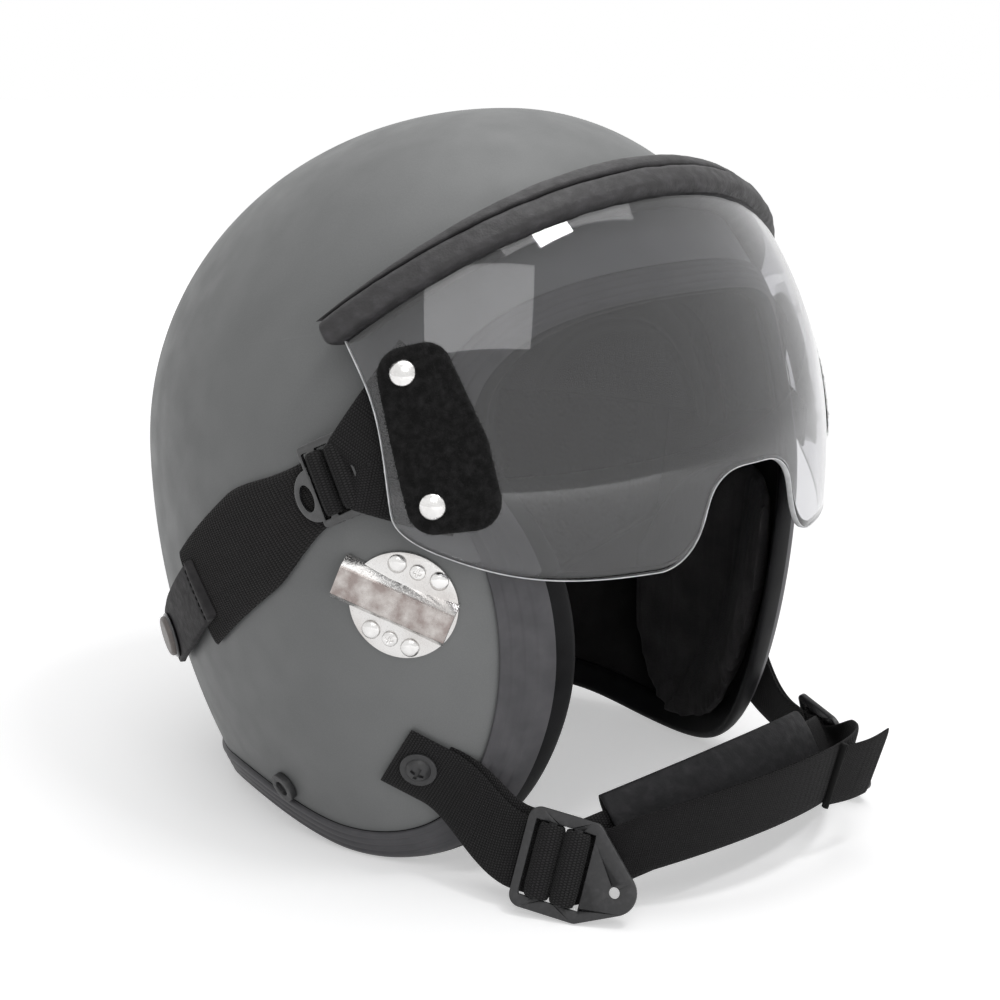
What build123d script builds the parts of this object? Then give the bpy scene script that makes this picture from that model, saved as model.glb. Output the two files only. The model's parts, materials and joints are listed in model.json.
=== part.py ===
from build123d import *
from functools import lru_cache
from math import asin, atan2, cos, degrees, radians, sin, sqrt
import os

# Open-face pilot flight helmet with a lift-up visor, resting on its rim.
# X is sideways (the wearer's right is -X), the face looks along -Y and +Z is up.
# The origin lies on the floor below the middle of the helmet's outer box.
# Side pieces are drawn for the wearer's right and mirrored to the left.
# Places on the helmet are given as (back, up) from the shell's widest point.

os.makedirs("parts", exist_ok=True)

# Shell: four ellipsoid quarters that meet smoothly at the widest point
SHELL_HALF_WIDTH = 120.0
SHELL_FRONT = 104.0
SHELL_BACK = 158.0
SHELL_TOP = 130.0
SHELL_LOW = 205.0
SHELL_WALL = 4.0
RIM_DROP = 131.0
RIM_ARCH = 7.0

# Edge trim: a U-shaped rubber strip round the whole cut edge of the shell
TRIM_BAND = 11.5
TRIM_PROUD = 1.8
TRIM_WEB = 2.6

# Lining
LINER_CORE = 22.0
LINER_SET_BACK = 14.0
CROWN_PAD = 7.0
CROWN_PAD_DROP = 8.0
CHEEK_PAD_DEPTH = 32.0
CHEEK_PAD_CROWN = 7.0
NECK_ROLL_DEPTH = 17.0
NECK_ROLL_HEIGHT = 42.0
NECK_ROLL_FLOOR = 6.0

# Visor: a clear lens carried in a padded edge roll
LENS_STAND_OFF = 10.0
LENS_WALL = 2.0
NOSE_HALF_WIDTH = 25.0
LENS_DROP = 18.5
NOSE_RISE = 13.0
ROLL_PROUD = 4.5
ROLL_GRIP = 7.0
ROLL_BAND = 10.5
ROLL_CREST = 9.0
ROLL_TAIL = 2.0
ROLL_GROOVE = 0.8
PATCH_THICK = 1.5
PATCH_ROUND = 8.6
PATCH_BELLY = 9.8
PATCH_BELLY_OUT = 12.0
RIVET_HEAD_RADIUS = 4.4
RIVET_HEAD_RISE = 2.0
RIVET_SHANK_RADIUS = 1.6
RIVET_TAIL_RISE = 1.2

# Elastic strap, its adjuster and the leather tab with a snap at the back
WEB_THICK = 1.8
ELASTIC_WIDTH = 38.0
ELASTIC_NECK = 22.0
ADJUSTER_LENGTH = 19.0
ADJUSTER_WIDTH = 28.0
ADJUSTER_PLATE = 2.0
ADJUSTER_BAR = 2.6
ADJUSTER_LUG = 9.0
ADJUSTER_LUG_HOLE = 2.6
VISOR_WEB_WIDTH = 21.0
TAB_LENGTH = 64.0
TAB_HEEL = 13.0
TAB_LAP = 7.0
TAB_WIDTH = 24.0
TAB_THICK = 2.2
SNAP_CAP_RADIUS = 7.8
SNAP_CAP_RISE = 3.0
SNAP_POST_RADIUS = 3.2
SNAP_BASE_RADIUS = 6.0
SNAP_BASE_RISE = 0.9

# Bayonet receiver: a stamped plate with a raised channel
PLATE_RADIUS = 18.5
PLATE_THICK = 1.2
CHANNEL_WIDTH = 16.0
CHANNEL_TOP = 10.0
CHANNEL_RISE = 4.0
CHANNEL_MOUTH = 5.0
PLATE_ROW = 12.8
PLATE_PITCH = 7.2
PLATE_RIVET_RADIUS = 3.2
PLATE_RIVET_RISE = 1.3
PLATE_SCREW_RADIUS = 2.6
PLATE_SCREW_RISE = 1.0

# Chin strap
CHIN_WEB_WIDTH = 25.0
WEB_HEEL = 9.0
CHIN_REACH = 143.0
CHIN_BOW_RADIUS = 99.5
CHIN_FRONT_RISE = 17.0
CHIN_RISE_ANGLE = 22.0
CHIN_LEAN_ANGLE = 15.0
BAND_HALF_SPAN = 62.0
BUCKLE_HALF_SPAN = 80.0
BUCKLE_AHEAD = 97.0
BUCKLE_HEADING_ANGLE = 22.0
BUCKLE_DIP_ANGLE = 8.5
BUCKLE_LEAN_ANGLE = 20.0
BUCKLE_LENGTH = 27.0
BUCKLE_WIDTH = 34.0
BUCKLE_PLATE = 2.0
BUCKLE_BAR = 3.0
BUCKLE_BAR_PITCH = 9.0
BUCKLE_TAB = 15.0
BUCKLE_HOLE_RADIUS = 1.9
PAD_BOW_RADIUS = 134.0
PAD_REACH = 121.6
PAD_FRONT_RISE = 12.5
PAD_LEAN_ANGLE = 30.0
PAD_BAND_HALF_SPAN = 69.0
PAD_FAR = 62.0
PAD_NEAR = 42.0
PAD_HEIGHT = 30.0
PAD_THICK = 6.0
PAD_LIFT = 2.5
PAD_ROUND = 1.8
TAIL_LENGTH = 24.0
TAIL_SEAM = 15.0
TAIL_STAND_ANGLE = 14.0
TAIL_AHEAD = 5.9
SCREW_HEAD_RADIUS = 4.5
SCREW_HEAD_RISE = 2.6
SCREW_SHANK_RADIUS = 2.0
WASHER_RADIUS = 6.5
WASHER_THICK = 1.0
NUT_RADIUS = 7.0
NUT_THICK = 1.6

# Ring snaps beside the rim
RING_SNAP_RADIUS = 5.5
RING_SNAP_RISE = 2.4
RING_SNAP_BORE = 3.0

# Points that carry a line parallel to the free edge
EDGE_STEPS = 24

# Clearances and one overrun for cuts
GAP = 0.3
FIT = 0.1
OVERRUN = 30.0

# Shares, chosen by hand: places on the helmet as parts of its front, back, top and rim sizes
ARCH_BACK_share = 0.34
NAPE_BACK_share = 0.62
LOBE_share = (-0.10, -1.0)
FACE_EDGE_shares = [(-0.50, -0.92), (-0.745, -0.62), (-0.815, -0.29), (-0.76, 0.0)]
BROW_shares = [(-0.64, 0.28), (-0.72, 0.46), (-1.02, 0.55)]
CHIN_SCREW_share = (-0.45, -0.67)
RING_SNAP_share = (0.10, -0.84)
RECEIVER_share = (-0.48, -0.214)
RECEIVER_AIM_share = (-0.70, -0.31)
REAR_STUD_share = (0.487, -0.496)
ADJUSTER_share = (-0.30, 0.104)
UPPER_RIVET_share = (-0.464, 0.351)
LOWER_RIVET_share = (-0.575, 0.061)
ADJUSTER_AIM_share = (-0.5875, 0.2235)
ROLL_LOWER_shares = [(-0.327, 0.446), (-0.76, 0.777)]
LENS_SIDE_shares = [(-0.32, 0.46), (-0.45, 0.315), (-0.54, 0.04)]
LINER_LOW_shares = [(-1.1, 0.09), (0.06, 0.09), (0.09, -0.35), (0.30, -0.52)]
PATCH_TOP_share = 0.6
PATCH_WAIST_share = 0.62
SLOT_ROUND_share = 0.08
WEB_END_share = 0.35
WEB_ARM_share = 0.8
TAB_ROUND_share = 0.12
CAP_ROUND_share = 0.45
CAP_BORE_share = 0.6
RING_BORE_share = 0.6
BUCKLE_CORNER_share = 0.12
TAB_EYE_share = 0.1
CROSS_LENGTH_share = 1.1
OVER_share = 1.1
CROSS_WIDTH_share = 0.28
CROSS_DEPTH_share = 0.5
NOSE_FLARE_share = 1.75
NOSE_SIDE_shares = [(1.0, 0.0), (0.74, 0.143), (0.585, 0.476), (0.49, 0.794), (0.33, 0.956)]
LENS_HEM_shares = [(-0.69, 0.50), (-0.90, 0.94), (-1.02, 1.0)]
CHEEK_PAD_shares = [
    (-0.86, -0.30),
    (-0.80, -0.60),
    (-0.52, -0.93),
    (-0.05, -0.90),
    (-0.06, -0.20),
    (-0.78, -0.15),
]

CENTRE = Vector(0, (CHIN_REACH + TAIL_AHEAD - SHELL_BACK) / 2, RIM_DROP)
LENS_OUT = LENS_STAND_OFF + LENS_WALL
SIDE = Plane(origin=CENTRE, x_dir=(0, 1, 0), z_dir=(1, 0, 0))
FRONT = Plane(origin=CENTRE, x_dir=(1, 0, 0), z_dir=(0, -1, 0))


def place(share):
    """A place on the side view, in mm behind and above the shell's widest point."""
    back, up = share
    depth = SHELL_BACK if back > 0 else SHELL_FRONT
    height = SHELL_TOP if up > 0 else RIM_DROP
    return back * depth, up * height


def half_axes(at):
    """The half axes of the ellipsoid quarter that a side-view place falls on."""
    depth = SHELL_BACK if at[0] > 0 else SHELL_FRONT
    height = SHELL_TOP if at[1] > 0 else SHELL_LOW
    return SHELL_HALF_WIDTH, depth, height


def on_shell(at, grow=0.0):
    """The point above a side-view place on the right side of the shell."""
    back, up = at
    a, b, c = half_axes(at)
    foot = CENTRE + Vector(-a * sqrt(1 - (back / b) ** 2 - (up / c) ** 2), back, up)
    return foot + outward(at) * grow


def outward(at):
    """The shell's outward direction at a side-view place on its right side."""
    back, up = at
    a, b, c = half_axes(at)
    side = -a * sqrt(1 - (back / b) ** 2 - (up / c) ** 2)
    return Vector(side / a**2, back / b**2, up / c**2).normalized()


def aimed(origin, target, normal):
    """A plane at a point with a given normal and its x axis towards a target."""
    run = target - origin
    return Plane(origin=origin, x_dir=run - normal * run.dot(normal), z_dir=normal)


def seat(at, toward, grow=0.0):
    """A plane on the shell that faces outwards, with its x axis towards a second place."""
    return aimed(on_shell(at, grow), on_shell(toward, grow), outward(at))


def seat_beside(plane, x, y, grow):
    """A plane on the shell below a spot of another plane on it, with the same x axis."""
    spot = plane.from_local_coords((x, y, 0)) - CENTRE
    ahead = spot + plane.x_dir
    return seat((spot.Y, spot.Z), (ahead.Y, ahead.Z), grow)


@lru_cache(maxsize=None)
def egg(grow):
    """The closed ellipsoid of the shell's outer surface, grown outwards."""
    a, b, c = SHELL_HALF_WIDTH + grow, SHELL_BACK + grow, SHELL_TOP + grow
    front, low = SHELL_FRONT + grow, SHELL_LOW + grow
    quarter = Sphere(1, 0, 90, 180, align=None, mode=Mode.PRIVATE)
    back_top = scale(quarter, by=(a, b, c), mode=Mode.PRIVATE)
    front_top = Rot(0, 0, 180) * scale(quarter, by=(a, front, c), mode=Mode.PRIVATE)
    back_low = Rot(0, 180, 0) * scale(quarter, by=(a, b, low), mode=Mode.PRIVATE)
    front_low = Rot(180, 0, 0) * scale(quarter, by=(a, front, low), mode=Mode.PRIVATE)
    return Pos(*CENTRE) * (back_top + front_top + back_low + front_low)


def mirrored(plane):
    """The same plane on the left side."""
    origin, x_dir, z_dir = plane.origin, plane.x_dir, plane.z_dir
    flip = Vector(-1, 1, 1)
    return Plane(
        origin=(origin.X * flip.X, origin.Y, origin.Z),
        x_dir=(x_dir.X * flip.X, x_dir.Y, x_dir.Z),
        z_dir=(z_dir.X * flip.X, z_dir.Y, z_dir.Z),
    )


def edge_line(inset=0.0):
    """The side view of the free edge from nape to brow, or a line parallel to it inside the helmet."""
    nape = (NAPE_BACK_share * SHELL_BACK, -RIM_DROP)
    arch = (ARCH_BACK_share * SHELL_BACK, RIM_ARCH - RIM_DROP)
    corners = [place(share) for share in [LOBE_share] + FACE_EDGE_shares + BROW_shares]
    free_edge = Spline(nape, arch, *corners, tangents=[(-1, 0), (-1, 0)], mode=Mode.PRIVATE)
    points = []
    for step in range(EDGE_STEPS + 1):
        along = free_edge % (step / EDGE_STEPS)
        points.append(free_edge @ (step / EDGE_STEPS) + Vector(along.Y, -along.X) * inset)
    return points


def side_outline(inset=0.0):
    """The kept side view of the helmet, drawn well clear of it at the back and top."""
    far = SHELL_BACK + OVERRUN
    top = SHELL_TOP + OVERRUN
    points = edge_line(inset)
    with BuildSketch(SIDE) as outline:
        with BuildLine():
            Spline(*points, tangents=[(-1, 0), (-1, 0)])
            nape, brow = points[0], points[-1]
            Polyline(brow, (-far, brow.Y), (-far, top), (far, top), (far, nape.Y), nape)
        make_face()
    return outline.sketch


def wrapped(outline, low, high, reach=OVERRUN):
    """A sheet that follows the shell between two heights above it, cut to an outline."""
    with BuildPart() as sheet:
        extrude(outline, amount=reach, both=True)
        add(egg(high), mode=Mode.INTERSECT)
        add(egg(low), mode=Mode.SUBTRACT)
    return sheet.part


def finish(piece, label):
    """Write a piece to its own file."""
    piece.label = label
    export_step(piece, f"parts/{label}.step")


def finish_pair(piece, name):
    """Write a right-hand piece and its mirror image on the left."""
    finish(piece, f"{name}_right")
    with BuildPart() as left:
        mirror(piece, about=Plane.YZ)
    finish(left.part, f"{name}_left")


# Seats of the fittings on the right side of the shell
receiver_plane = seat(place(RECEIVER_share), place(RECEIVER_AIM_share), GAP)
rivet_spots = [(x, side * PLATE_ROW) for side in (-1, 1) for x in (-PLATE_PITCH, PLATE_PITCH)]
screw_spots = [(0, side * PLATE_ROW) for side in (-1, 1)]
stud_plane = seat(place(REAR_STUD_share), place(ADJUSTER_share), GAP)
snap_plane = seat(place(RING_SNAP_share), (0, 0), GAP)

# Chin buckle seat: the buckle stands on the floor by its lowest corner
heading = radians(BUCKLE_HEADING_ANGLE)
dip = radians(BUCKLE_DIP_ANGLE)
lean = radians(BUCKLE_LEAN_ANGLE)
buckle_run = Vector(cos(dip) * sin(heading), -cos(dip) * cos(heading), -sin(dip))
level_up = (Vector(0, 0, 1) - buckle_run * buckle_run.Z).normalized()
buckle_up = level_up * cos(lean) - buckle_run.cross(level_up) * sin(lean)
buckle_out = buckle_run.cross(buckle_up)
buckle_corner = BUCKLE_WIDTH * BUCKLE_CORNER_share
buckle_lift = (
    (BUCKLE_LENGTH / 2 - buckle_corner) * abs(buckle_run.Z)
    + (BUCKLE_WIDTH / 2 - buckle_corner) * buckle_up.Z
    + buckle_corner * sqrt(buckle_run.Z**2 + buckle_up.Z**2)
    + BUCKLE_PLATE / 2 * abs(buckle_out.Z)
)
buckle_centre = CENTRE + Vector(-BUCKLE_HALF_SPAN, -BUCKLE_AHEAD, buckle_lift - RIM_DROP)
buckle_plane = Plane(origin=buckle_centre, x_dir=buckle_run, z_dir=buckle_out)
buckle_loop = sqrt(BUCKLE_BAR**2 + BUCKLE_PLATE**2) / 2 + GAP + WEB_THICK
bar_at = BUCKLE_BAR_PITCH / 2
rear_foot = buckle_plane.from_local_coords((-BUCKLE_LENGTH / 2, 0, WEB_THICK / 2 - buckle_loop))
screw_plane = aimed(on_shell(place(CHIN_SCREW_share), GAP), rear_foot, outward(place(CHIN_SCREW_share)))

# Outer shell, bored for everything that is riveted or screwed to it
shell_bores = [seat_beside(receiver_plane, *spot, 0) for spot in rivet_spots + screw_spots]
shell_bores += [stud_plane, snap_plane, screw_plane]
with BuildPart() as outer_shell:
    extrude(side_outline(TRIM_WEB), amount=SHELL_HALF_WIDTH + OVERRUN, both=True)
    add(egg(0), mode=Mode.INTERSECT)
    add(egg(-SHELL_WALL), mode=Mode.SUBTRACT)
    with BuildSketch(*shell_bores, *[mirrored(bore) for bore in shell_bores]):
        Circle(SCREW_SHANK_RADIUS + FIT)
    extrude(amount=SHELL_WALL * 2, both=True, mode=Mode.SUBTRACT)
finish(outer_shell.part, "outer_shell")

# Edge trim
with BuildPart() as edge_trim:
    extrude(side_outline(), amount=SHELL_HALF_WIDTH + OVERRUN, both=True)
    extrude(side_outline(TRIM_BAND), amount=SHELL_HALF_WIDTH + OVERRUN, both=True, mode=Mode.SUBTRACT)
    add(egg(TRIM_PROUD), mode=Mode.INTERSECT)
    add(egg(-SHELL_WALL - TRIM_PROUD), mode=Mode.SUBTRACT)
    add(outer_shell.part, mode=Mode.SUBTRACT)
finish(edge_trim.part, "edge_trim")

# Impact liner: a foam shell under the crown and down the back, stepped back from the edge
with BuildPart() as impact_liner:
    extrude(side_outline(LINER_SET_BACK), amount=SHELL_HALF_WIDTH, both=True)
    add(egg(-SHELL_WALL - GAP), mode=Mode.INTERSECT)
    add(egg(-SHELL_WALL - LINER_CORE), mode=Mode.SUBTRACT)
    with BuildSketch(SIDE):
        liner_low = [place(share) for share in LINER_LOW_shares]
        roll_top = NECK_ROLL_FLOOR + NECK_ROLL_HEIGHT + GAP - RIM_DROP
        outside = SHELL_BACK + OVERRUN
        Polygon(*liner_low, (outside, roll_top), (outside, -SHELL_LOW), (-outside, -SHELL_LOW), align=None)
    extrude(amount=SHELL_HALF_WIDTH, both=True, mode=Mode.SUBTRACT)
finish(impact_liner.part, "impact_liner")

# Crown liner: the cloth pad that rests on the head
with BuildPart() as crown_liner:
    extrude(side_outline(LINER_SET_BACK + CROWN_PAD), amount=SHELL_HALF_WIDTH, both=True)
    add(egg(-SHELL_WALL - LINER_CORE - GAP), mode=Mode.INTERSECT)
    add(egg(-SHELL_WALL - LINER_CORE - CROWN_PAD), mode=Mode.SUBTRACT)
    split(bisect_by=Plane(origin=CENTRE + Vector(0, 0, CROWN_PAD_DROP), z_dir=(0, 0, 1)))
finish(crown_liner.part, "crown_liner")

# Cheek pads: thick cushions inside the front lobes, crowned towards the face
cheek_inner = SHELL_HALF_WIDTH - CHEEK_PAD_DEPTH
with BuildPart() as cheek_pad:
    with BuildSketch(SIDE):
        with BuildLine():
            Spline(*[place(share) for share in CHEEK_PAD_shares], periodic=True)
        make_face()
    extrude(amount=-SHELL_HALF_WIDTH)
    add(egg(-SHELL_WALL - TRIM_PROUD - GAP), mode=Mode.INTERSECT)
    with BuildSketch(Plane(origin=CENTRE, x_dir=(1, 0, 0), z_dir=(0, 0, 1))):
        with BuildLine():
            pad_back = place(CHEEK_PAD_shares[3])[0] + OVERRUN
            pad_front = place(CHEEK_PAD_shares[0])[0] - OVERRUN
            crest = (CHEEK_PAD_CROWN - cheek_inner, (pad_back + pad_front) / 2)
            pad_arc = ThreePointArc((-cheek_inner, pad_back), crest, (-cheek_inner, pad_front))
            Polyline(pad_arc @ 1, (0, pad_front), (0, pad_back), pad_arc @ 0)
        make_face()
    extrude(amount=SHELL_LOW, both=True, mode=Mode.SUBTRACT)
finish_pair(cheek_pad.part, "cheek_pad")

# Neck roll: a padded strip inside the nape
with BuildPart() as neck_roll:
    with BuildSketch(SIDE):
        roll_front = place(LINER_LOW_shares[-1])[0]
        with Locations((roll_front, NECK_ROLL_FLOOR - RIM_DROP)):
            Rectangle(SHELL_BACK, NECK_ROLL_HEIGHT, align=(Align.MIN, Align.MIN))
    extrude(amount=SHELL_HALF_WIDTH, both=True)
    add(egg(-SHELL_WALL - TRIM_PROUD - GAP), mode=Mode.INTERSECT)
    add(egg(-SHELL_WALL - TRIM_PROUD - NECK_ROLL_DEPTH), mode=Mode.SUBTRACT)
finish(neck_roll.part, "neck_roll")

# Lens: a sheet that stands off the shell, with a nose notch and rounded lower corners
lens_side = [place(share) for share in LENS_SIDE_shares]
roll_low = [place(share) for share in ROLL_LOWER_shares]
roll_run = (Vector(*roll_low[1]) - Vector(*roll_low[0])).normalized()
roll_rise = Vector(-roll_run.Y, roll_run.X) * (1 if roll_run.X > 0 else -1)


def beside_roll(rise):
    """Both ends of a long line parallel to the roll's lower edge, raised by an amount."""
    foot = Vector(*roll_low[0]) + roll_rise * rise
    return foot, foot + roll_run * SHELL_BACK * 2


with BuildSketch(SIDE) as lens_view:
    with BuildLine():
        rear_low, rear_high = lens_side[2], lens_side[0]
        low_front = (-SHELL_BACK, -LENS_DROP)
        hem = [(back * SHELL_FRONT, -down * LENS_DROP) for back, down in LENS_HEM_shares]
        edge = Spline(rear_high, lens_side[1], rear_low)
        turn = Spline(rear_low, *hem, tangents=[edge % 1, (-1, 0)])
        start, end = beside_roll(ROLL_GRIP)
        Polyline(turn @ 1, low_front, (end.X, end.Y), (start.X, start.Y), edge @ 0)
    make_face()
nose_flare = NOSE_HALF_WIDTH * NOSE_FLARE_share
nose_height = NOSE_RISE + LENS_DROP
with BuildSketch(FRONT) as nose_notch:
    with BuildLine():
        flanks = [(out * nose_flare, up * nose_height - LENS_DROP) for out, up in NOSE_SIDE_shares]
        mirror_flanks = [(-out, up) for out, up in flanks]
        lip = Spline(*mirror_flanks, (0, NOSE_RISE), *flanks[::-1], tangents=[(1, 0), (1, 0)])
        Polyline(lip @ 1, (nose_flare, -SHELL_LOW), (-nose_flare, -SHELL_LOW), lip @ 0)
    make_face()
with BuildPart() as visor_lens:
    extrude(lens_view.sketch, amount=SHELL_HALF_WIDTH + OVERRUN, both=True)
    extrude(nose_notch.sketch, amount=SHELL_BACK, mode=Mode.SUBTRACT)
    add(egg(LENS_OUT), mode=Mode.INTERSECT)
    add(egg(LENS_STAND_OFF), mode=Mode.SUBTRACT)
    for at in (place(UPPER_RIVET_share), place(LOWER_RIVET_share)):
        for hole in (seat(at, (0, 0)), mirrored(seat(at, (0, 0)))):
            with BuildSketch(hole):
                Circle(RIVET_SHANK_RADIUS + FIT)
            extrude(amount=OVERRUN, mode=Mode.SUBTRACT)
finish(visor_lens.part, "visor_lens")

# Edge roll: a padded band over the lens's top edge, and a crescent lip behind it
roll_foot = Vector(*roll_low[0])
roll_length = (Vector(*roll_low[1]) - roll_foot).length
with BuildPart() as visor_roll:
    with BuildSketch(SIDE):
        band_end = roll_foot - roll_run * ROLL_TAIL
        band_out = roll_foot + roll_run * SHELL_BACK
        band_rise = roll_rise * ROLL_BAND
        Polygon(band_end, band_out, band_out + band_rise, band_end + band_rise, align=None)
    extrude(amount=SHELL_HALF_WIDTH + OVERRUN, both=True)
    add(egg(LENS_OUT + ROLL_PROUD), mode=Mode.INTERSECT)
    add(egg(GAP + FIT), mode=Mode.SUBTRACT)
    add(visor_lens.part, mode=Mode.SUBTRACT)
finish(visor_roll.part, "visor_roll")

with BuildPart() as visor_lip:
    with BuildSketch(SIDE):
        lip_end = band_end + band_rise + roll_rise * FIT
        lip_crest = lip_end + roll_run * (roll_length + ROLL_TAIL) + roll_rise * ROLL_CREST
        lip_out = lip_end + (lip_crest - lip_end) * 2
        Polygon(lip_end, lip_end + roll_run * SHELL_BACK, lip_out, align=None)
    extrude(amount=SHELL_HALF_WIDTH + OVERRUN, both=True)
    add(egg(LENS_OUT + ROLL_PROUD - ROLL_GROOVE * 2), mode=Mode.INTERSECT)
    add(egg(GAP + FIT), mode=Mode.SUBTRACT)
finish(visor_lip.part, "visor_lip")


def fastener(head_radius, head_rise, shank_radius, shank_length, tail=0.0):
    """A domed head over a shank along Z, with a flattened tail below it on a rivet."""
    foot = [(shank_radius, -shank_length)]
    if tail:
        foot += [(shank_radius + tail, -shank_length), (shank_radius + tail, -shank_length - tail)]
    with BuildPart() as piece:
        with BuildSketch(Plane.XZ):
            with BuildLine():
                TangentArc((0, head_rise), (head_radius, 0), tangent=(1, 0))
                Polyline((head_radius, 0), (shank_radius, 0), *foot, (0, foot[-1][1]), (0, head_rise))
            make_face()
        revolve(axis=Axis.Z)
    return piece.part


def cross_screw(head_radius, head_rise, shank_radius, shank_length):
    """A domed screw with a cross recess in its head."""
    long_side = head_radius * CROSS_LENGTH_share
    short_side = head_radius * CROSS_WIDTH_share
    with BuildPart() as screw:
        add(fastener(head_radius, head_rise, shank_radius, shank_length))
        with BuildSketch(Plane.XY.offset(head_rise)):
            Rectangle(long_side, short_side)
            Rectangle(short_side, long_side)
        extrude(amount=-head_rise * CROSS_DEPTH_share, mode=Mode.SUBTRACT)
    return screw.part


# Visor side patches: soft pads riveted to the lens over the ends of the webbing
upper_rivet, lower_rivet = place(UPPER_RIVET_share), place(LOWER_RIVET_share)
patch_top = LENS_OUT + FIT + PATCH_THICK
patch_plane = seat(upper_rivet, lower_rivet, LENS_OUT)
rivet_pitch = (on_shell(lower_rivet, LENS_OUT) - on_shell(upper_rivet, LENS_OUT)).length
rivet_seats = [seat(upper_rivet, lower_rivet, patch_top), seat(lower_rivet, upper_rivet, patch_top)]
with BuildSketch(patch_plane) as patch_outline:
    with Locations((0, 0), (0, PATCH_BELLY_OUT * PATCH_TOP_share), (rivet_pitch, 0)):
        Circle(PATCH_ROUND)
    with Locations((rivet_pitch * PATCH_WAIST_share, PATCH_BELLY_OUT), (rivet_pitch, PATCH_BELLY_OUT)):
        Circle(PATCH_BELLY)
    make_hull()
side_patch = wrapped(patch_outline.sketch, LENS_OUT + FIT, patch_top)
rivet_length = patch_top - LENS_STAND_OFF + WEB_THICK + FIT * 2
patch_rivet = fastener(RIVET_HEAD_RADIUS, RIVET_HEAD_RISE, RIVET_SHANK_RADIUS, rivet_length, RIVET_TAIL_RISE)
with BuildPart() as bored_patch:
    add(side_patch)
    with BuildSketch(*rivet_seats):
        Circle(RIVET_SHANK_RADIUS + FIT)
    extrude(amount=PATCH_THICK * 2, both=True, mode=Mode.SUBTRACT)
finish_pair(bored_patch.part, "side_patch")
with BuildPart() as patch_rivets:
    with Locations(*rivet_seats):
        add(patch_rivet)
finish_pair(patch_rivets.part, "patch_rivets")


def moved(at, toward, distance):
    """The side-view place a distance along the way to another place."""
    run = (Vector(*toward) - Vector(*at)).normalized()
    return at[0] + run.X * distance, at[1] + run.Y * distance


def slide(plane, length, width, thick, slots, web_width, lug):
    """A flat slide on a plane, with slots across it for webbing that runs along X."""
    rail = (width - web_width) / 2 - GAP
    with BuildPart() as plate:
        with BuildSketch(plane):
            RectangleRounded(length, width, rail)
            add(lug)
            for middle, slot in slots:
                with Locations((middle, 0)):
                    RectangleRounded(slot, width - rail * 2, slot * SLOT_ROUND_share, mode=Mode.SUBTRACT)
        extrude(amount=thick / 2, both=True)
    return plate.part


def bar_loop(plane, along, width, bar, thick):
    """Webbing wrapped once round a bar that crosses the plane at a distance along X."""
    inner = sqrt(bar**2 + thick**2) / 2 + GAP
    axis = Plane(origin=plane.from_local_coords((along, 0, 0)), x_dir=plane.x_dir, z_dir=plane.y_dir)
    with BuildPart() as loop:
        with BuildSketch(axis):
            Circle(inner + WEB_THICK)
            Circle(inner, mode=Mode.SUBTRACT)
        extrude(amount=width / 2, both=True)
    return loop.part


# Strap adjusters: slides between the elastic strap and the visor webbing
adjuster_at = place(ADJUSTER_share)
adjuster_aim = place(ADJUSTER_AIM_share)
loop_radius = sqrt(ADJUSTER_BAR**2 + ADJUSTER_PLATE**2) / 2 + GAP + WEB_THICK
bar_out = (ADJUSTER_LENGTH - ADJUSTER_BAR) / 2
web_low = LENS_STAND_OFF - FIT - WEB_THICK
strap_low = GAP * 2
rear_bar = on_shell(moved(adjuster_at, adjuster_aim, -bar_out), strap_low + loop_radius)
front_bar = on_shell(moved(adjuster_at, adjuster_aim, bar_out), web_low + WEB_THICK - loop_radius)
adjuster_run = (front_bar - rear_bar).normalized()
adjuster_out = outward(adjuster_at)
adjuster_plane = Plane(
    origin=(front_bar + rear_bar) / 2,
    x_dir=adjuster_run,
    z_dir=adjuster_out - adjuster_run * adjuster_out.dot(adjuster_run),
)
with BuildSketch(Plane.XY) as adjuster_lug:
    with Locations((-ADJUSTER_LENGTH / 2, -(ADJUSTER_WIDTH + ADJUSTER_LUG / 2) / 2)):
        Circle(ADJUSTER_LUG / 2)
        Circle(ADJUSTER_LUG_HOLE / 2, mode=Mode.SUBTRACT)
adjuster_slot = (ADJUSTER_LENGTH - ADJUSTER_BAR * 3) / 2
slot_middle = (ADJUSTER_BAR + adjuster_slot) / 2
slots = [(-slot_middle, adjuster_slot), (slot_middle, adjuster_slot)]
adjuster = slide(
    adjuster_plane, ADJUSTER_LENGTH, ADJUSTER_WIDTH, ADJUSTER_PLATE, slots, ELASTIC_NECK, adjuster_lug.sketch
)
finish_pair(adjuster, "strap_adjuster")

# Visor webbing: a V from the adjuster's front bar to the two rivets, under the lens
web_plane = Plane(origin=front_bar, x_dir=adjuster_run, z_dir=adjuster_plane.z_dir)
with BuildPart() as visor_web:
    with BuildSketch(web_plane):
        for at in (upper_rivet, lower_rivet):
            tip = web_plane.to_local_coords(on_shell(at, LENS_STAND_OFF))
            run = Vector(tip.X, tip.Y)
            with Locations(Location((0, 0, 0), (0, 0, degrees(atan2(run.Y, run.X))))):
                Rectangle(
                    run.length + VISOR_WEB_WIDTH * WEB_END_share,
                    VISOR_WEB_WIDTH * WEB_ARM_share,
                    align=(Align.MIN, Align.CENTER),
                )
    extrude(amount=OVERRUN, both=True)
    add(egg(web_low + WEB_THICK), mode=Mode.INTERSECT)
    add(egg(web_low), mode=Mode.SUBTRACT)
    add(bar_loop(adjuster_plane, bar_out, VISOR_WEB_WIDTH, ADJUSTER_BAR, ADJUSTER_PLATE))
    for hole in rivet_seats:
        with BuildSketch(hole):
            Circle(RIVET_SHANK_RADIUS + FIT)
        extrude(amount=-OVERRUN, mode=Mode.SUBTRACT)
finish_pair(visor_web.part, "visor_web")

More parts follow.
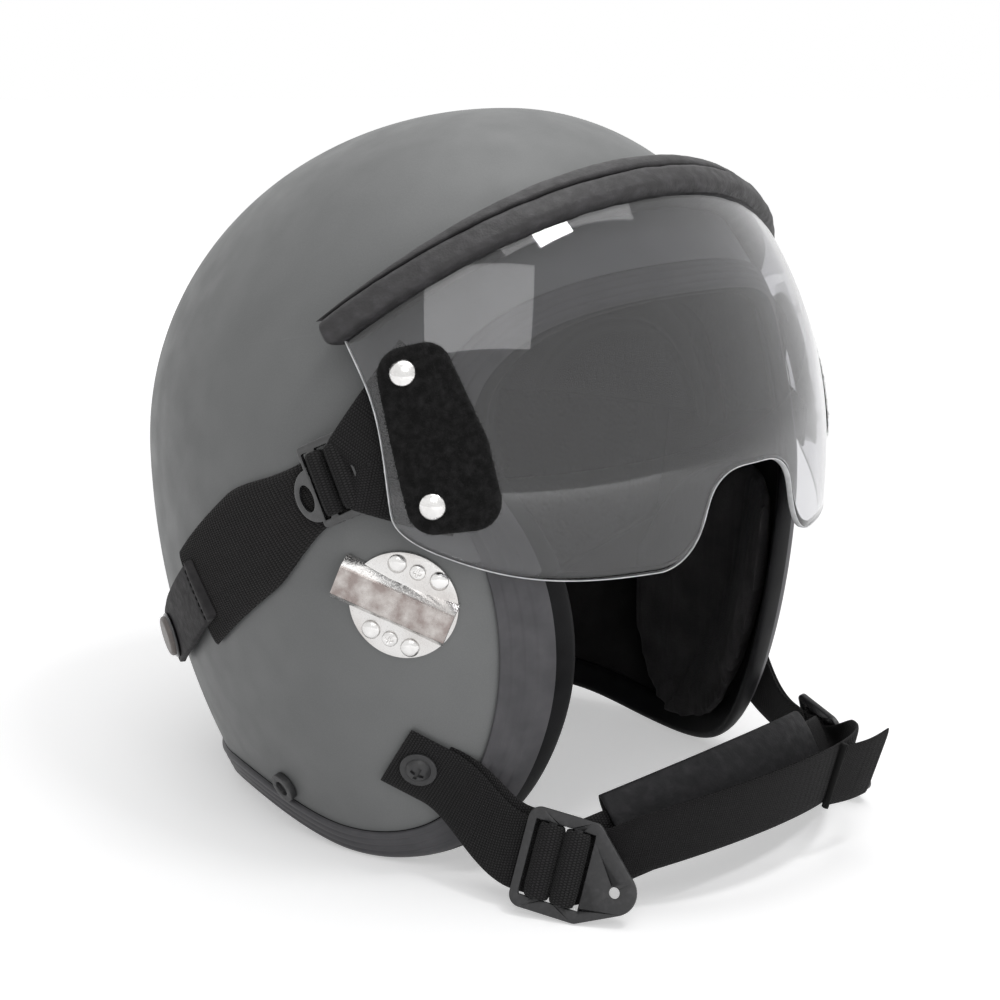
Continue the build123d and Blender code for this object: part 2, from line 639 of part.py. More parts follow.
# Elastic straps: wide at the back, drawn in to the adjuster
stud_at = place(REAR_STUD_share)
strap_end = stud_plane.to_local_coords(rear_bar)
with BuildPart() as elastic_strap:
    with BuildSketch(stud_plane):
        strap_start = TAB_LENGTH - TAB_HEEL - TAB_LAP
        neck = strap_end.X - ELASTIC_WIDTH
        Polygon(
            (strap_start, -ELASTIC_WIDTH / 2),
            (neck, -ELASTIC_WIDTH / 2),
            (strap_end.X, -ELASTIC_NECK / 2),
            (strap_end.X, ELASTIC_NECK / 2),
            (neck, ELASTIC_WIDTH / 2),
            (strap_start, ELASTIC_WIDTH / 2),
            align=None,
        )
    extrude(amount=SHELL_HALF_WIDTH / 2, both=True)
    add(egg(strap_low + WEB_THICK), mode=Mode.INTERSECT)
    add(egg(strap_low), mode=Mode.SUBTRACT)
    add(bar_loop(adjuster_plane, -bar_out, ELASTIC_NECK, ADJUSTER_BAR, ADJUSTER_PLATE))
finish_pair(elastic_strap.part, "elastic_strap")

# Rear tabs: leather tabs over the ends of the elastic straps, each held by a snap
with BuildSketch(stud_plane) as tab_outline:
    with Locations((TAB_LENGTH / 2 - TAB_HEEL, 0)):
        RectangleRounded(TAB_LENGTH, TAB_WIDTH, TAB_WIDTH * TAB_ROUND_share)
    Circle(SNAP_POST_RADIUS + FIT, mode=Mode.SUBTRACT)
tab_low = strap_low + WEB_THICK + FIT
rear_tab = wrapped(tab_outline.sketch, tab_low, tab_low + TAB_THICK)
finish_pair(rear_tab, "rear_tab")

cap_plane = seat(stud_at, adjuster_at, tab_low + TAB_THICK + FIT)
with BuildPart() as snap_cap:
    with BuildSketch(cap_plane):
        Circle(SNAP_CAP_RADIUS)
    extrude(amount=SNAP_CAP_RISE)
    cap_axis = Axis(cap_plane.origin, cap_plane.z_dir)
    fillet(snap_cap.faces().sort_by(cap_axis)[-1].edges(), SNAP_CAP_RISE * CAP_ROUND_share)
    with BuildSketch(cap_plane):
        Circle(SNAP_POST_RADIUS + FIT)
    extrude(amount=SNAP_CAP_RISE * CAP_BORE_share, mode=Mode.SUBTRACT)
finish_pair(snap_cap.part, "snap_cap")

with BuildPart() as rear_stud:
    with BuildSketch(stud_plane):
        Circle(SNAP_BASE_RADIUS)
    extrude(amount=SNAP_BASE_RISE)
    with BuildSketch(stud_plane):
        Circle(SNAP_POST_RADIUS)
    extrude(amount=tab_low + TAB_THICK + SNAP_CAP_RISE * CAP_BORE_share - GAP)
    with BuildSketch(stud_plane):
        Circle(SCREW_SHANK_RADIUS)
    extrude(amount=-SHELL_WALL)
finish_pair(rear_stud.part, "rear_stud")

# Bayonet receivers: a stamped plate on each side with a channel for the mask's bayonet
across = Plane(
    origin=receiver_plane.from_local_coords((-PLATE_RADIUS - CHANNEL_MOUTH, 0, 0)),
    x_dir=receiver_plane.y_dir,
    z_dir=receiver_plane.x_dir,
)


def hat(thin):
    """The section of the channel: a flat top on sloping sides, or the passage inside it."""
    half = CHANNEL_WIDTH / 2 - thin
    top = (CHANNEL_TOP - thin) / 2
    rise = CHANNEL_RISE - thin
    left = [(-half, -CHANNEL_RISE), (-half, 0), (-top, rise)]
    with BuildSketch(across) as section:
        Polygon(*left, (top, rise), (half, 0), (half, -CHANNEL_RISE), align=None)
    return section.sketch


plate_bores = [seat_beside(receiver_plane, *spot, 0) for spot in rivet_spots + screw_spots]
channel_run = PLATE_RADIUS * 2 + CHANNEL_MOUTH - PLATE_THICK
with BuildPart() as bayonet_receiver:
    with BuildSketch(receiver_plane):
        Circle(PLATE_RADIUS)
    extrude(amount=PLATE_RADIUS, both=True)
    add(egg(GAP + PLATE_THICK), mode=Mode.INTERSECT)
    extrude(hat(0), amount=channel_run)
    extrude(hat(PLATE_THICK), amount=channel_run - PLATE_THICK, mode=Mode.SUBTRACT)
    add(egg(GAP), mode=Mode.SUBTRACT)
    with BuildSketch(*plate_bores):
        Circle(SCREW_SHANK_RADIUS + FIT)
    extrude(amount=PLATE_THICK * 2, both=True, mode=Mode.SUBTRACT)
finish_pair(bayonet_receiver.part, "bayonet_receiver")

# Receiver fasteners: four domed rivets and two cross-head screws through each plate
plate_top = GAP + PLATE_THICK + FIT
plate_shank = plate_top + SHELL_WALL - GAP
plate_rivet = fastener(PLATE_RIVET_RADIUS, PLATE_RIVET_RISE, SCREW_SHANK_RADIUS, plate_shank)
plate_screw = cross_screw(PLATE_SCREW_RADIUS, PLATE_SCREW_RISE, SCREW_SHANK_RADIUS, plate_shank)
with BuildPart() as receiver_rivets:
    with Locations(*[seat_beside(receiver_plane, *spot, plate_top) for spot in rivet_spots]):
        add(plate_rivet)
finish_pair(receiver_rivets.part, "receiver_rivets")
with BuildPart() as receiver_screws:
    with Locations(*[seat_beside(receiver_plane, *spot, plate_top) for spot in screw_spots]):
        add(plate_screw)
finish_pair(receiver_screws.part, "receiver_screws")

# Ring snaps beside the rim
with BuildPart() as ring_snap:
    with BuildSketch(snap_plane):
        Circle(RING_SNAP_RADIUS)
    extrude(amount=RING_SNAP_RISE)
    with BuildSketch(snap_plane.offset(RING_SNAP_RISE)):
        Circle(RING_SNAP_BORE)
    extrude(amount=-RING_SNAP_RISE * RING_BORE_share, mode=Mode.SUBTRACT)
    with BuildSketch(snap_plane):
        Circle(SCREW_SHANK_RADIUS)
    extrude(amount=-SHELL_WALL)
finish_pair(ring_snap.part, "ring_snap")

# Chin buckles: steel slides with a pierced tab
tab_eye = (BUCKLE_LENGTH / 2 + BUCKLE_TAB / 2, -BUCKLE_WIDTH * TAB_EYE_share)
corner_in = BUCKLE_LENGTH / 2 - buckle_corner
corner_up = BUCKLE_WIDTH / 2 - buckle_corner
with BuildSketch(Plane.XY) as buckle_tab:
    with Locations((corner_in, corner_up), (corner_in, -corner_up)):
        Circle(buckle_corner)
    with Locations(tab_eye):
        Circle(BUCKLE_TAB / 2)
    make_hull()
    with Locations(tab_eye):
        Circle(BUCKLE_HOLE_RADIUS, mode=Mode.SUBTRACT)
end_slot = (BUCKLE_LENGTH - BUCKLE_BAR_PITCH - BUCKLE_BAR * 3) / 2
end_middle = (BUCKLE_BAR_PITCH + BUCKLE_BAR + end_slot) / 2
slots = [(-end_middle, end_slot), (0, BUCKLE_BAR_PITCH - BUCKLE_BAR), (end_middle, end_slot)]
chin_buckle = slide(
    buckle_plane, BUCKLE_LENGTH, BUCKLE_WIDTH, BUCKLE_PLATE, slots, CHIN_WEB_WIDTH, buckle_tab.sketch
)
finish_pair(chin_buckle, "chin_buckle")

# Chin webbing: flat under the screw, then forward below the buckle's rear edge to its second bar
web_foot = WEB_THICK / 2 - buckle_loop
stations = []
for plane, x, height in (
    (screw_plane, -WEB_HEEL, WEB_THICK / 2),
    (screw_plane, WASHER_RADIUS + GAP, WEB_THICK / 2),
    (buckle_plane, -BUCKLE_LENGTH / 2, web_foot),
    (buckle_plane, -bar_at, web_foot),
):
    middle = plane.from_local_coords((x, 0, height))
    stations.append(Plane(origin=middle, x_dir=plane.y_dir, z_dir=plane.x_dir))
with BuildPart() as chin_web:
    for station in stations:
        with BuildSketch(station):
            Rectangle(CHIN_WEB_WIDTH, WEB_THICK - FIT)
    loft(ruled=True)
    add(bar_loop(buckle_plane, -bar_at, CHIN_WEB_WIDTH, BUCKLE_BAR, BUCKLE_PLATE))
    with BuildSketch(screw_plane):
        Circle(SCREW_SHANK_RADIUS + FIT)
    extrude(amount=WEB_THICK * 2, both=True, mode=Mode.SUBTRACT)
finish_pair(chin_web.part, "chin_web")

# Chin screws, washers and nuts
washer_seat = screw_plane.offset(WEB_THICK)
with BuildPart() as chin_washer:
    with BuildSketch(washer_seat):
        Circle(WASHER_RADIUS)
        Circle(SCREW_SHANK_RADIUS + FIT, mode=Mode.SUBTRACT)
    extrude(amount=WASHER_THICK)
finish_pair(chin_washer.part, "chin_washer")

screw_length = WASHER_THICK + WEB_THICK + GAP + SHELL_WALL + GAP + NUT_THICK
with BuildPart() as chin_screw:
    with Locations(washer_seat.offset(WASHER_THICK)):
        add(cross_screw(SCREW_HEAD_RADIUS, SCREW_HEAD_RISE, SCREW_SHANK_RADIUS, screw_length))
finish_pair(chin_screw.part, "chin_screw")

with BuildPart() as chin_nut:
    with BuildSketch(screw_plane.offset(-GAP - SHELL_WALL - GAP)):
        Circle(NUT_RADIUS)
        Circle(SCREW_SHANK_RADIUS + FIT, mode=Mode.SUBTRACT)
    extrude(amount=-NUT_THICK)
finish_pair(chin_nut.part, "chin_nut")


def bow(plane, radius, low, high, left, right):
    """A strip bent to a radius, drawn on a plane between two sideways places."""
    start = degrees(asin(left / radius)) - 90
    turn = degrees(asin(right / radius)) - 90 - start
    with BuildSketch(plane) as strip:
        with BuildLine():
            outer = CenterArc((0, radius), radius + high, start, turn)
            inner = CenterArc((0, radius), radius + low, start, turn)
            Line(outer @ 0, inner @ 0)
            Line(outer @ 1, inner @ 1)
        make_face()
    return strip.sketch


# Chin band: the outer tape, bowed between the buckles and looped round their third bars
band_lean = radians(CHIN_LEAN_ANGLE)
band_rise = radians(CHIN_RISE_ANGLE)
band_front = CENTRE + Vector(0, -CHIN_REACH, buckle_lift + CHIN_FRONT_RISE - RIM_DROP)
band_plane = Plane(origin=band_front, x_dir=(1, 0, 0), z_dir=(0, -sin(band_lean), cos(band_lean)))
band_edge = Vector(0, sin(band_rise), cos(band_rise)) * CHIN_WEB_WIDTH / 2 * cos(band_lean + band_rise)
band_foot_at = buckle_plane.from_local_coords((bar_at, 0, WEB_THICK / 2 - buckle_loop))
with BuildSketch(Plane(origin=band_foot_at, x_dir=buckle_up, z_dir=buckle_run)) as band_foot:
    Rectangle(CHIN_WEB_WIDTH, WEB_THICK - FIT)
with BuildPart() as chin_band:
    tape = bow(band_plane, CHIN_BOW_RADIUS, -WEB_THICK, 0, -BAND_HALF_SPAN, 0)
    extrude(tape, amount=CHIN_WEB_WIDTH * 2, both=True)
    for side in (-1, 1):
        split(bisect_by=Plane(origin=band_front + band_edge * side, z_dir=band_edge * side), keep=Keep.BOTTOM)
    loft([chin_band.faces().sort_by(Axis.X)[0], band_foot.sketch.face()], ruled=True)
    add(bar_loop(buckle_plane, bar_at, CHIN_WEB_WIDTH, BUCKLE_BAR, BUCKLE_PLATE))
    mirror(about=Plane.YZ)
finish(chin_band.part, "chin_band")

# Inner band: the webbing that carries the chin pad, sewn inside the outer tape at both ends
pad_lean = radians(PAD_LEAN_ANGLE)
pad_front = CENTRE + Vector(0, -PAD_REACH, buckle_lift + PAD_FRONT_RISE - RIM_DROP)
pad_plane = Plane(origin=pad_front, x_dir=(1, 0, 0), z_dir=(0, sin(pad_lean), cos(pad_lean)))
inside_tape = CHIN_BOW_RADIUS - WEB_THICK
with BuildPart() as chin_inner_band:
    half_web = WEB_THICK / 2
    carrier = bow(pad_plane, PAD_BOW_RADIUS, -half_web, half_web, -PAD_BAND_HALF_SPAN, PAD_BAND_HALF_SPAN)
    extrude(carrier, amount=CHIN_WEB_WIDTH / 2, both=True)
    with BuildSketch(band_plane):
        with Locations((0, CHIN_BOW_RADIUS)):
            Circle(inside_tape)
    extrude(amount=CHIN_WEB_WIDTH * 3, both=True, mode=Mode.INTERSECT)
    add(chin_band.part, mode=Mode.SUBTRACT)
finish(chin_inner_band.part, "chin_inner_band")

# Chin pad: a sleeve over the inner band, flattened where it lies against the outer tape
with BuildPart() as chin_pad:
    half_pad = PAD_THICK / 2
    low_edge = pad_plane.offset(PAD_LIFT - PAD_HEIGHT / 2)
    extrude(bow(low_edge, PAD_BOW_RADIUS, -half_pad, half_pad, -PAD_FAR, PAD_NEAR), amount=PAD_HEIGHT)
    long_edges = chin_pad.edges().filter_by(GeomType.CIRCLE)
    fillet(long_edges, PAD_ROUND)
    clear = half_web + GAP
    passage = pad_plane.offset(-CHIN_WEB_WIDTH / 2 - GAP)
    cut = bow(passage, PAD_BOW_RADIUS, -clear, clear, -PAD_FAR * OVER_share, PAD_NEAR * OVER_share)
    extrude(cut, amount=CHIN_WEB_WIDTH + GAP * 2, mode=Mode.SUBTRACT)
    with BuildSketch(band_plane):
        with Locations((0, CHIN_BOW_RADIUS)):
            Circle(inside_tape - GAP)
    extrude(amount=CHIN_WEB_WIDTH * 3, both=True, mode=Mode.INTERSECT)
finish(chin_pad.part, "chin_pad")

# Chin tail: the free end of the tape, sewn to its outer face at the seam
seam_turn = asin(TAIL_SEAM / CHIN_BOW_RADIUS)
seam_drop = CHIN_BOW_RADIUS * (1 - cos(seam_turn))
seam_slip = -seam_drop * sin(band_lean + band_rise) / cos(band_lean + band_rise)
tail_turn = seam_turn - radians(TAIL_STAND_ANGLE)
tail_run = band_plane.x_dir * cos(tail_turn) + band_plane.y_dir * sin(tail_turn)
tail_out = tail_run.cross(band_plane.z_dir)
seam_at = band_plane.from_local_coords((TAIL_SEAM, seam_drop, seam_slip))
with BuildPart() as chin_tail:
    with BuildSketch(Plane(origin=seam_at + tail_out * FIT, x_dir=tail_run, z_dir=tail_out)):
        Rectangle(TAIL_LENGTH, CHIN_WEB_WIDTH, align=(Align.MIN, Align.CENTER))
    extrude(amount=WEB_THICK)
finish(chin_tail.part, "chin_tail")
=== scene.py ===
"""Looks of an open-face pilot flight helmet with a lift-up visor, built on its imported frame.

X is sideways (the wearer's right is -X), the face looks along -Y and +Z is up. Sizes are in
millimetres and become metres where a mesh is made. Places on the helmet are (back, up) from the
shell's widest point, and side pieces are drawn for the wearer's right and mirrored to the left.
"""

import json
import logging
import math
from dataclasses import dataclass, field
from enum import Enum
from typing import Callable, Iterable, Optional, Sequence

import bmesh
import bpy
import numpy as np
from mathutils import Matrix, Vector, noise

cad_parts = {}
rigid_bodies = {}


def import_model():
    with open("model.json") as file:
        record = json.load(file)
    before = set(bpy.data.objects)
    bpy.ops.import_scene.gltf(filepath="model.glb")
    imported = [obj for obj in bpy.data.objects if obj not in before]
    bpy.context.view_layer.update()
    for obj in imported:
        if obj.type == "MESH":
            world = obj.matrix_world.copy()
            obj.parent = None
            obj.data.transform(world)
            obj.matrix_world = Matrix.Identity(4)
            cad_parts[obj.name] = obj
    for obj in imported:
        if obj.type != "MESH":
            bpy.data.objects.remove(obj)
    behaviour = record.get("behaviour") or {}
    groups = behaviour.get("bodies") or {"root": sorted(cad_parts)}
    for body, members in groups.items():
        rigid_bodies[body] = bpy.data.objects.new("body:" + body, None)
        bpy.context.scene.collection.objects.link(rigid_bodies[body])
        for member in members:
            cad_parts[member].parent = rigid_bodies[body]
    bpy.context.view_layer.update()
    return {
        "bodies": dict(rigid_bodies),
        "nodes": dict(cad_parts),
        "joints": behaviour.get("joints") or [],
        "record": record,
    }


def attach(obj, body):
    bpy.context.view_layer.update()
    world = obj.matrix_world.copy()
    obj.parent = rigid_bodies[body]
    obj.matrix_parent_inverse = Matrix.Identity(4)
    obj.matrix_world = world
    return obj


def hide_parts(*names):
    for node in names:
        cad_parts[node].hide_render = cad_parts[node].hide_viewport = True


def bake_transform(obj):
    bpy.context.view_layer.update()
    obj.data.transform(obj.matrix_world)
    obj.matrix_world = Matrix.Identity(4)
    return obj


log = logging.getLogger("helmet")

Array = np.ndarray
Colour = tuple[float, float, float]
MM = 0.001
FINE = 1200
CLOSE = 2e-6


class Side(Enum):
    """A side of the helmet, with the factor that takes a right-hand piece there."""

    RIGHT = 1.0
    LEFT = -1.0

    @property
    def word(self) -> str:
        """The side's name as the frame's nodes and bodies end."""
        return self.name.lower()


# Lines and surfaces


def unit(vectors: Array) -> Array:
    """Vectors scaled to length one."""
    return vectors / np.linalg.norm(vectors, axis=-1, keepdims=True)


def ease(t: Array) -> Array:
    """A smooth step from 0 to 1."""
    t = np.clip(t, 0, 1)
    return t * t * (3 - 2 * t)


def crowded(count: int) -> Array:
    """Numbers from 0 to 1 that lie closer together at both ends."""
    return (1 - np.cos(np.linspace(0, math.pi, count))) / 2


def even(path: Array, count: int) -> Array:
    """Points evenly spaced along a polyline.

    Args:
        path: The polyline's points, one a row.
        count: How many points to give.

    Returns:
        The points, from the polyline's first to its last.
    """
    at = np.concatenate([[0], np.cumsum(np.linalg.norm(np.diff(path, axis=0), axis=1))])
    want = np.linspace(0, at[-1], count)
    return np.stack([np.interp(want, at, path[:, k]) for k in range(path.shape[1])], axis=1)


def curve_through(
    points: Sequence, count: int, ends: Optional[Sequence] = None, closed: bool = False
) -> Array:
    """A smooth cubic curve through points.

    Args:
        points: The points, in order.
        count: How many evenly spaced points to give on the curve.
        ends: The directions at the first and last point, or None to leave them free.
        closed: Whether the curve runs back to its first point.

    Returns:
        The points on the curve.
    """
    p = np.asarray(points, float)
    if closed:
        p = np.vstack([p, p[:1]])
    n = len(p)
    step = np.linalg.norm(np.diff(p, axis=0), axis=1)
    slope = np.diff(p, axis=0) / step[:, None]
    rows, right = np.zeros((n, n)), np.zeros((n, p.shape[1]))
    for i in range(1, n - 1):
        rows[i, i - 1 : i + 2] = step[i - 1], 2 * (step[i - 1] + step[i]), step[i]
        right[i] = 6 * (slope[i] - slope[i - 1])
    rows[0, 0] = rows[-1, -1] = 1
    if closed:
        rows[0, -1] = -1
        rows[-1, [0, 1, -2, -1]] = 2 * step[0], step[0], step[-1], 2 * step[-1]
        right[-1] = 6 * (slope[0] - slope[-1])
    elif ends is not None:
        rows[0, :2], right[0] = (2 * step[0], step[0]), 6 * (slope[0] - np.array(ends[0]))
        rows[-1, -2:], right[-1] = (step[-1], 2 * step[-1]), 6 * (np.array(ends[1]) - slope[-1])
    bend = np.linalg.solve(rows, right)
    at = np.concatenate([[0], np.cumsum(step)])
    t = np.linspace(0, at[-1], count * 4)
    i = np.clip(np.searchsorted(at, t, "right") - 1, 0, n - 2)
    a, b, w = (at[i + 1] - t)[:, None], (t - at[i])[:, None], step[i][:, None]
    path = (bend[i] * a**3 + bend[i + 1] * b**3) / (6 * w)
    path += (p[i] / w - bend[i] * w / 6) * a + (p[i + 1] / w - bend[i + 1] * w / 6) * b
    return even(path, count)


def convex_outline(points: Array) -> Array:
    """The convex outline of flat points, counter-clockwise."""
    order = sorted(map(tuple, points))

    def half(run: Iterable) -> list:
        """One side of the outline."""
        kept: list = []
        for p in run:
            while len(kept) > 1 and np.cross(
                np.subtract(kept[-1], kept[-2]), np.subtract(p, kept[-1])
            ) <= 0:
                kept.pop()
            kept.append(p)
        return kept[:-1]

    return np.array(half(order) + half(reversed(order)))


def circle(radius: float, middle: Sequence = (0.0, 0.0), count: int = 48) -> Array:
    """Points round a circle."""
    turn = np.linspace(0, 2 * math.pi, count, endpoint=False)
    return np.stack([middle[0] + radius * np.cos(turn), middle[1] + radius * np.sin(turn)], 1)


def ring_closed(path: Array) -> Array:
    """An outline with its first point again at the end."""
    return np.vstack([path, path[:1]])


def inside(outline: Array, points: Array) -> Array:
    """Whether flat points lie inside an outline."""
    x, y = points[..., 0], points[..., 1]
    found = np.zeros(x.shape, bool)
    for (x0, y0), (x1, y1) in zip(outline, np.roll(outline, -1, axis=0)):
        if y0 != y1:
            found ^= ((y0 > y) != (y1 > y)) & (x < (x1 - x0) * (y - y0) / (y1 - y0) + x0)
    return found


@dataclass(frozen=True)
class Seat:
    """A flat seat on the helmet: an origin and three directions."""

    origin: Array
    along: Array
    across: Array
    out: Array

    def at(self, x: Array, y: Array, z: Array = 0.0) -> Array:
        """Points of the seat's own coordinates, in the frame."""
        x, y, z = np.broadcast_arrays(x, y, z)
        return (
            self.origin
            + x[..., None] * self.along
            + y[..., None] * self.across
            + z[..., None] * self.out
        )

    def local(self, point: Array) -> Array:
        """A point in the seat's own coordinates."""
        run = point - self.origin
        return np.stack([run @ self.along, run @ self.across, run @ self.out], axis=-1)

    def matrix(self, side: Side) -> Matrix:
        """The seat's matrix in metres on one side of the helmet."""
        flip = np.array([side.value, 1, 1])
        along, out = self.along * flip, self.out * flip
        across = np.cross(out, along)
        m = Matrix.Identity(4)
        for column, vector in enumerate((along, across, out, self.origin * flip * MM)):
            for row in range(3):
                m[row][column] = vector[row]
        return m


def aimed(origin: Array, target: Array, normal: Array) -> Seat:
    """A seat at a point with a given normal and its long direction towards a target."""
    run = target - origin
    along = unit(run - normal * (run @ normal))
    return Seat(origin, along, np.cross(normal, along), normal)


@dataclass(frozen=True)
class Form:
    """The helmet's main form: four ellipsoid quarters and the cut edge drawn on their side view."""

    half_width: float = 120.0
    front: float = 104.0
    back: float = 158.0
    top: float = 130.0
    low: float = 205.0
    rim_drop: float = 131.0
    rim_arch: float = 7.0
    centre_back: float = -4.55
    star: tuple[float, float] = (30.0, 50.0)
    nape_share: float = 0.62
    arch_share: float = 0.34
    edge_shares: tuple = (
        (-0.10, -1.0),
        (-0.50, -0.92),
        (-0.745, -0.62),
        (-0.815, -0.29),
        (-0.76, 0.0),
        (-0.64, 0.28),
        (-0.72, 0.46),
        (-1.02, 0.55),
    )

    @property
    def centre(self) -> Array:
        """The shell's centre in the frame."""
        return np.array([0.0, self.centre_back, self.rim_drop])

    def place(self, share: Sequence) -> Array:
        """A side-view place from shares of the helmet's sizes."""
        back, up = share
        return np.array(
            [
                back * (self.back if back > 0 else self.front),
                up * (self.top if up > 0 else self.rim_drop),
            ]
        )

    def depths(self, places: Array, grow: Array) -> tuple[Array, Array]:
        """The depth and height of the quarter that each side-view place falls on."""
        back, up = places[..., 0], places[..., 1]
        return (
            np.where(back > 0, self.back, self.front) + grow,
            np.where(up > 0, self.top, self.low) + grow,
        )

    def right(self, places: Array, grow: Array = 0.0) -> Array:
        """The points above side-view places on the right side, on the form grown outwards."""
        depth, height = self.depths(places, grow)
        left_over = 1 - (places[..., 0] / depth) ** 2 - (places[..., 1] / height) ** 2
        x = -(self.half_width + grow) * np.sqrt(np.clip(left_over, 0, None))
        x = np.where(left_over < 1e-9, 0.0, x)
        return self.centre + np.stack([x, places[..., 0], places[..., 1]], axis=-1)

    def outward(self, place: Array) -> Array:
        """The outward direction at a side-view place on the right side."""
        depth, height = self.depths(place, 0.0)
        side = (self.right(place) - self.centre)[..., 0]
        slopes = (side / self.half_width**2, place[..., 0] / depth**2, place[..., 1] / height**2)
        return unit(np.stack(slopes, axis=-1))

    def standing(self, place: Array, rise: float = 0.0) -> Array:
        """The point that stands a rise above a side-view place."""
        return self.right(place) + self.outward(place) * rise

    def seat(self, place: Array, toward: Array, rise: float = 0.0) -> Seat:
        """A seat on the shell that points towards a second place."""
        return aimed(self.standing(place, rise), self.standing(toward, rise), self.outward(place))

    def beside(self, seat: Seat, x: float, y: float, rise: float) -> Seat:
        """A seat on the shell below a spot of another seat, with the same long direction."""
        spot = seat.at(np.array(x), np.array(y)) - self.centre
        return self.seat(spot[1:], (spot + seat.along)[1:], rise)

    def level(self, points: Array, grow: Array) -> Array:
        """How far points are from the grown form, as a share of it: under 0 inside."""
        run = points - self.centre
        depth, height = self.depths(run[..., 1:], grow)
        spread = (run[..., 0] / (self.half_width + grow)) ** 2
        return spread + (run[..., 1] / depth) ** 2 + (run[..., 2] / height) ** 2 - 1

    def sink(self, points: Array, direction: Array, grow: Array, reach: float = 60.0) -> Array:
        """Points slid along a direction onto the grown form.

        Args:
            points: Points near the form.
            direction: The outward direction to slide along.
            grow: How far the form is grown, for all points or for each.
            reach: How far a point may slide either way.

        Returns:
            The points on the form.
        """
        near = np.full(points.shape[:-1], -reach)
        far = np.full(points.shape[:-1], reach)
        for _ in range(42):
            middle = (near + far) / 2
            within = self.level(points + middle[..., None] * direction, grow) < 0
            near, far = np.where(within, middle, near), np.where(within, far, middle)
        return points + near[..., None] * direction

    def spaced(self, path: Array, grow: float, count: int) -> Array:
        """Side-view places evenly spaced over the form along a side-view path."""
        fine = even(path, FINE)
        at = np.concatenate(
            [[0], np.cumsum(np.linalg.norm(np.diff(fine, axis=0), axis=1))]
        )
        want = crowded(FINE * 3) * at[-1]
        fine = np.stack([np.interp(want, at, fine[:, k]) for k in range(2)], axis=1)
        over = self.right(fine, grow)
        at = np.concatenate([[0], np.cumsum(np.linalg.norm(np.diff(over, axis=0), axis=1))])
        want = np.linspace(0, at[-1], count)
        return np.stack([np.interp(want, at, fine[:, k]) for k in range(2)], axis=1)

    def edge(self, inset: float, grow: float, count: int) -> Array:
        """The side view of a line parallel to the cut edge, from the nape to the brow.

        Args:
            inset: How far inside the cut edge the line runs.
            grow: How far the form is grown where the line lies.
            count: How many places to give, evenly spaced over the form.

        Returns:
            The places. The first and last are on the helmet's middle plane.
        """
        nape = (self.nape_share * self.back, -self.rim_drop)
        arch = (self.arch_share * self.back, self.rim_arch - self.rim_drop)
        corners = [self.place(share) for share in self.edge_shares]
        line = curve_through([nape, arch, *corners], 400, ends=((-1, 0), (-1, 0)))
        run = unit(np.gradient(line, axis=0))
        line = line + np.stack([run[:, 1], -run[:, 0]], axis=1) * inset
        behind = self.back + grow
        reach = behind * math.sqrt(1 - (line[0, 1] / (self.low + grow)) ** 2)
        line = np.vstack([[reach, line[0, 1]], line])
        depth, height = self.depths(line, grow)
        over = 1 - (line[:, 0] / depth) ** 2 - (line[:, 1] / height) ** 2
        last = np.nonzero(over > 1e-9)[0][-1]
        share = over[last] / (over[last] - over[last + 1])
        brow = line[last] + (line[last + 1] - line[last]) * share
        return self.spaced(np.vstack([line[: last + 1], brow]), grow, count)

    def skyline(self, start: Array, end: Array, grow: float, count: int) -> Array:
        """The side view of the helmet's middle line over the crown between two places on it."""
        turns = []
        for place in (start, end):
            depth, height = self.depths(place, grow)
            turns.append(math.atan2(place[1] / height, place[0] / depth))
        turn = np.linspace(turns[0] % (2 * math.pi), turns[1], count)
        around = np.stack([np.cos(turn), np.sin(turn)], axis=1)
        depth, height = self.depths(around, grow)
        return around * np.stack([depth, height], axis=1)

    def fan(self, outline: Array, rings: int, grow: Array, star: Optional[Sequence] = None) -> Array:
        """Side-view places in rings inside an outline, evenly spaced over the form.

        Args:
            outline: The outline's places.
            rings: How many steps lead from the middle to the outline.
            grow: How far the form is grown.
            star: The place in the middle, from which the whole outline is seen.

        Returns:
            Places by ring and by outline point.
        """
        middle = np.array(self.star if star is None else star)
        reach = crowded(160)[:, None, None]
        fine = middle + (outline - middle)[None] * reach
        steps = np.linalg.norm(np.diff(self.right(fine, grow), axis=0), axis=2)
        at = np.concatenate([np.zeros((1, len(outline))), np.cumsum(steps, axis=0)])
        share = np.linspace(0, 1, rings + 1)
        picked = np.stack(
            [
                np.interp(share * at[-1, j], at[:, j], reach[:, 0, 0])
                for j in range(len(outline))
            ],
            axis=1,
        )
        return middle + (outline - middle)[None] * picked[..., None]


FORM = Form()


def away_from_middle(points: Array) -> Array:
    """Outward directions of the form at points on or inside it."""
    run = points - FORM.centre
    depth, height = FORM.depths(run[..., 1:], 0.0)
    slopes = (run[..., 0] / FORM.half_width**2, run[..., 1] / depth**2, run[..., 2] / height**2)
    return unit(np.stack(slopes, axis=-1))


# Meshes


def quads(rows: int, cols: int, wrap: bool = False, first: int = 0) -> Array:
    """The faces of a grid of points.

    Args:
        rows: How many rows of points the grid has.
        cols: How many points a row has.
        wrap: Whether each row runs back to its first point.
        first: The number of the grid's first point.

    Returns:
        Four point numbers a face.
    """
    j = np.arange(cols if wrap else cols - 1)
    k = (j + 1) % cols
    low = first + np.arange(rows - 1)[:, None] * cols
    faces = np.stack([low + j, low + k, low + cols + k, low + cols + j], axis=-1)
    return faces.reshape(-1, 4)


def between(ring_a: Array, ring_b: Array, wrap: bool = True) -> Array:
    """Faces between two rows of point numbers."""
    if wrap:
        ring_a, ring_b = np.append(ring_a, ring_a[0]), np.append(ring_b, ring_b[0])
    return np.stack([ring_a[:-1], ring_a[1:], ring_b[1:], ring_b[:-1]], axis=1)


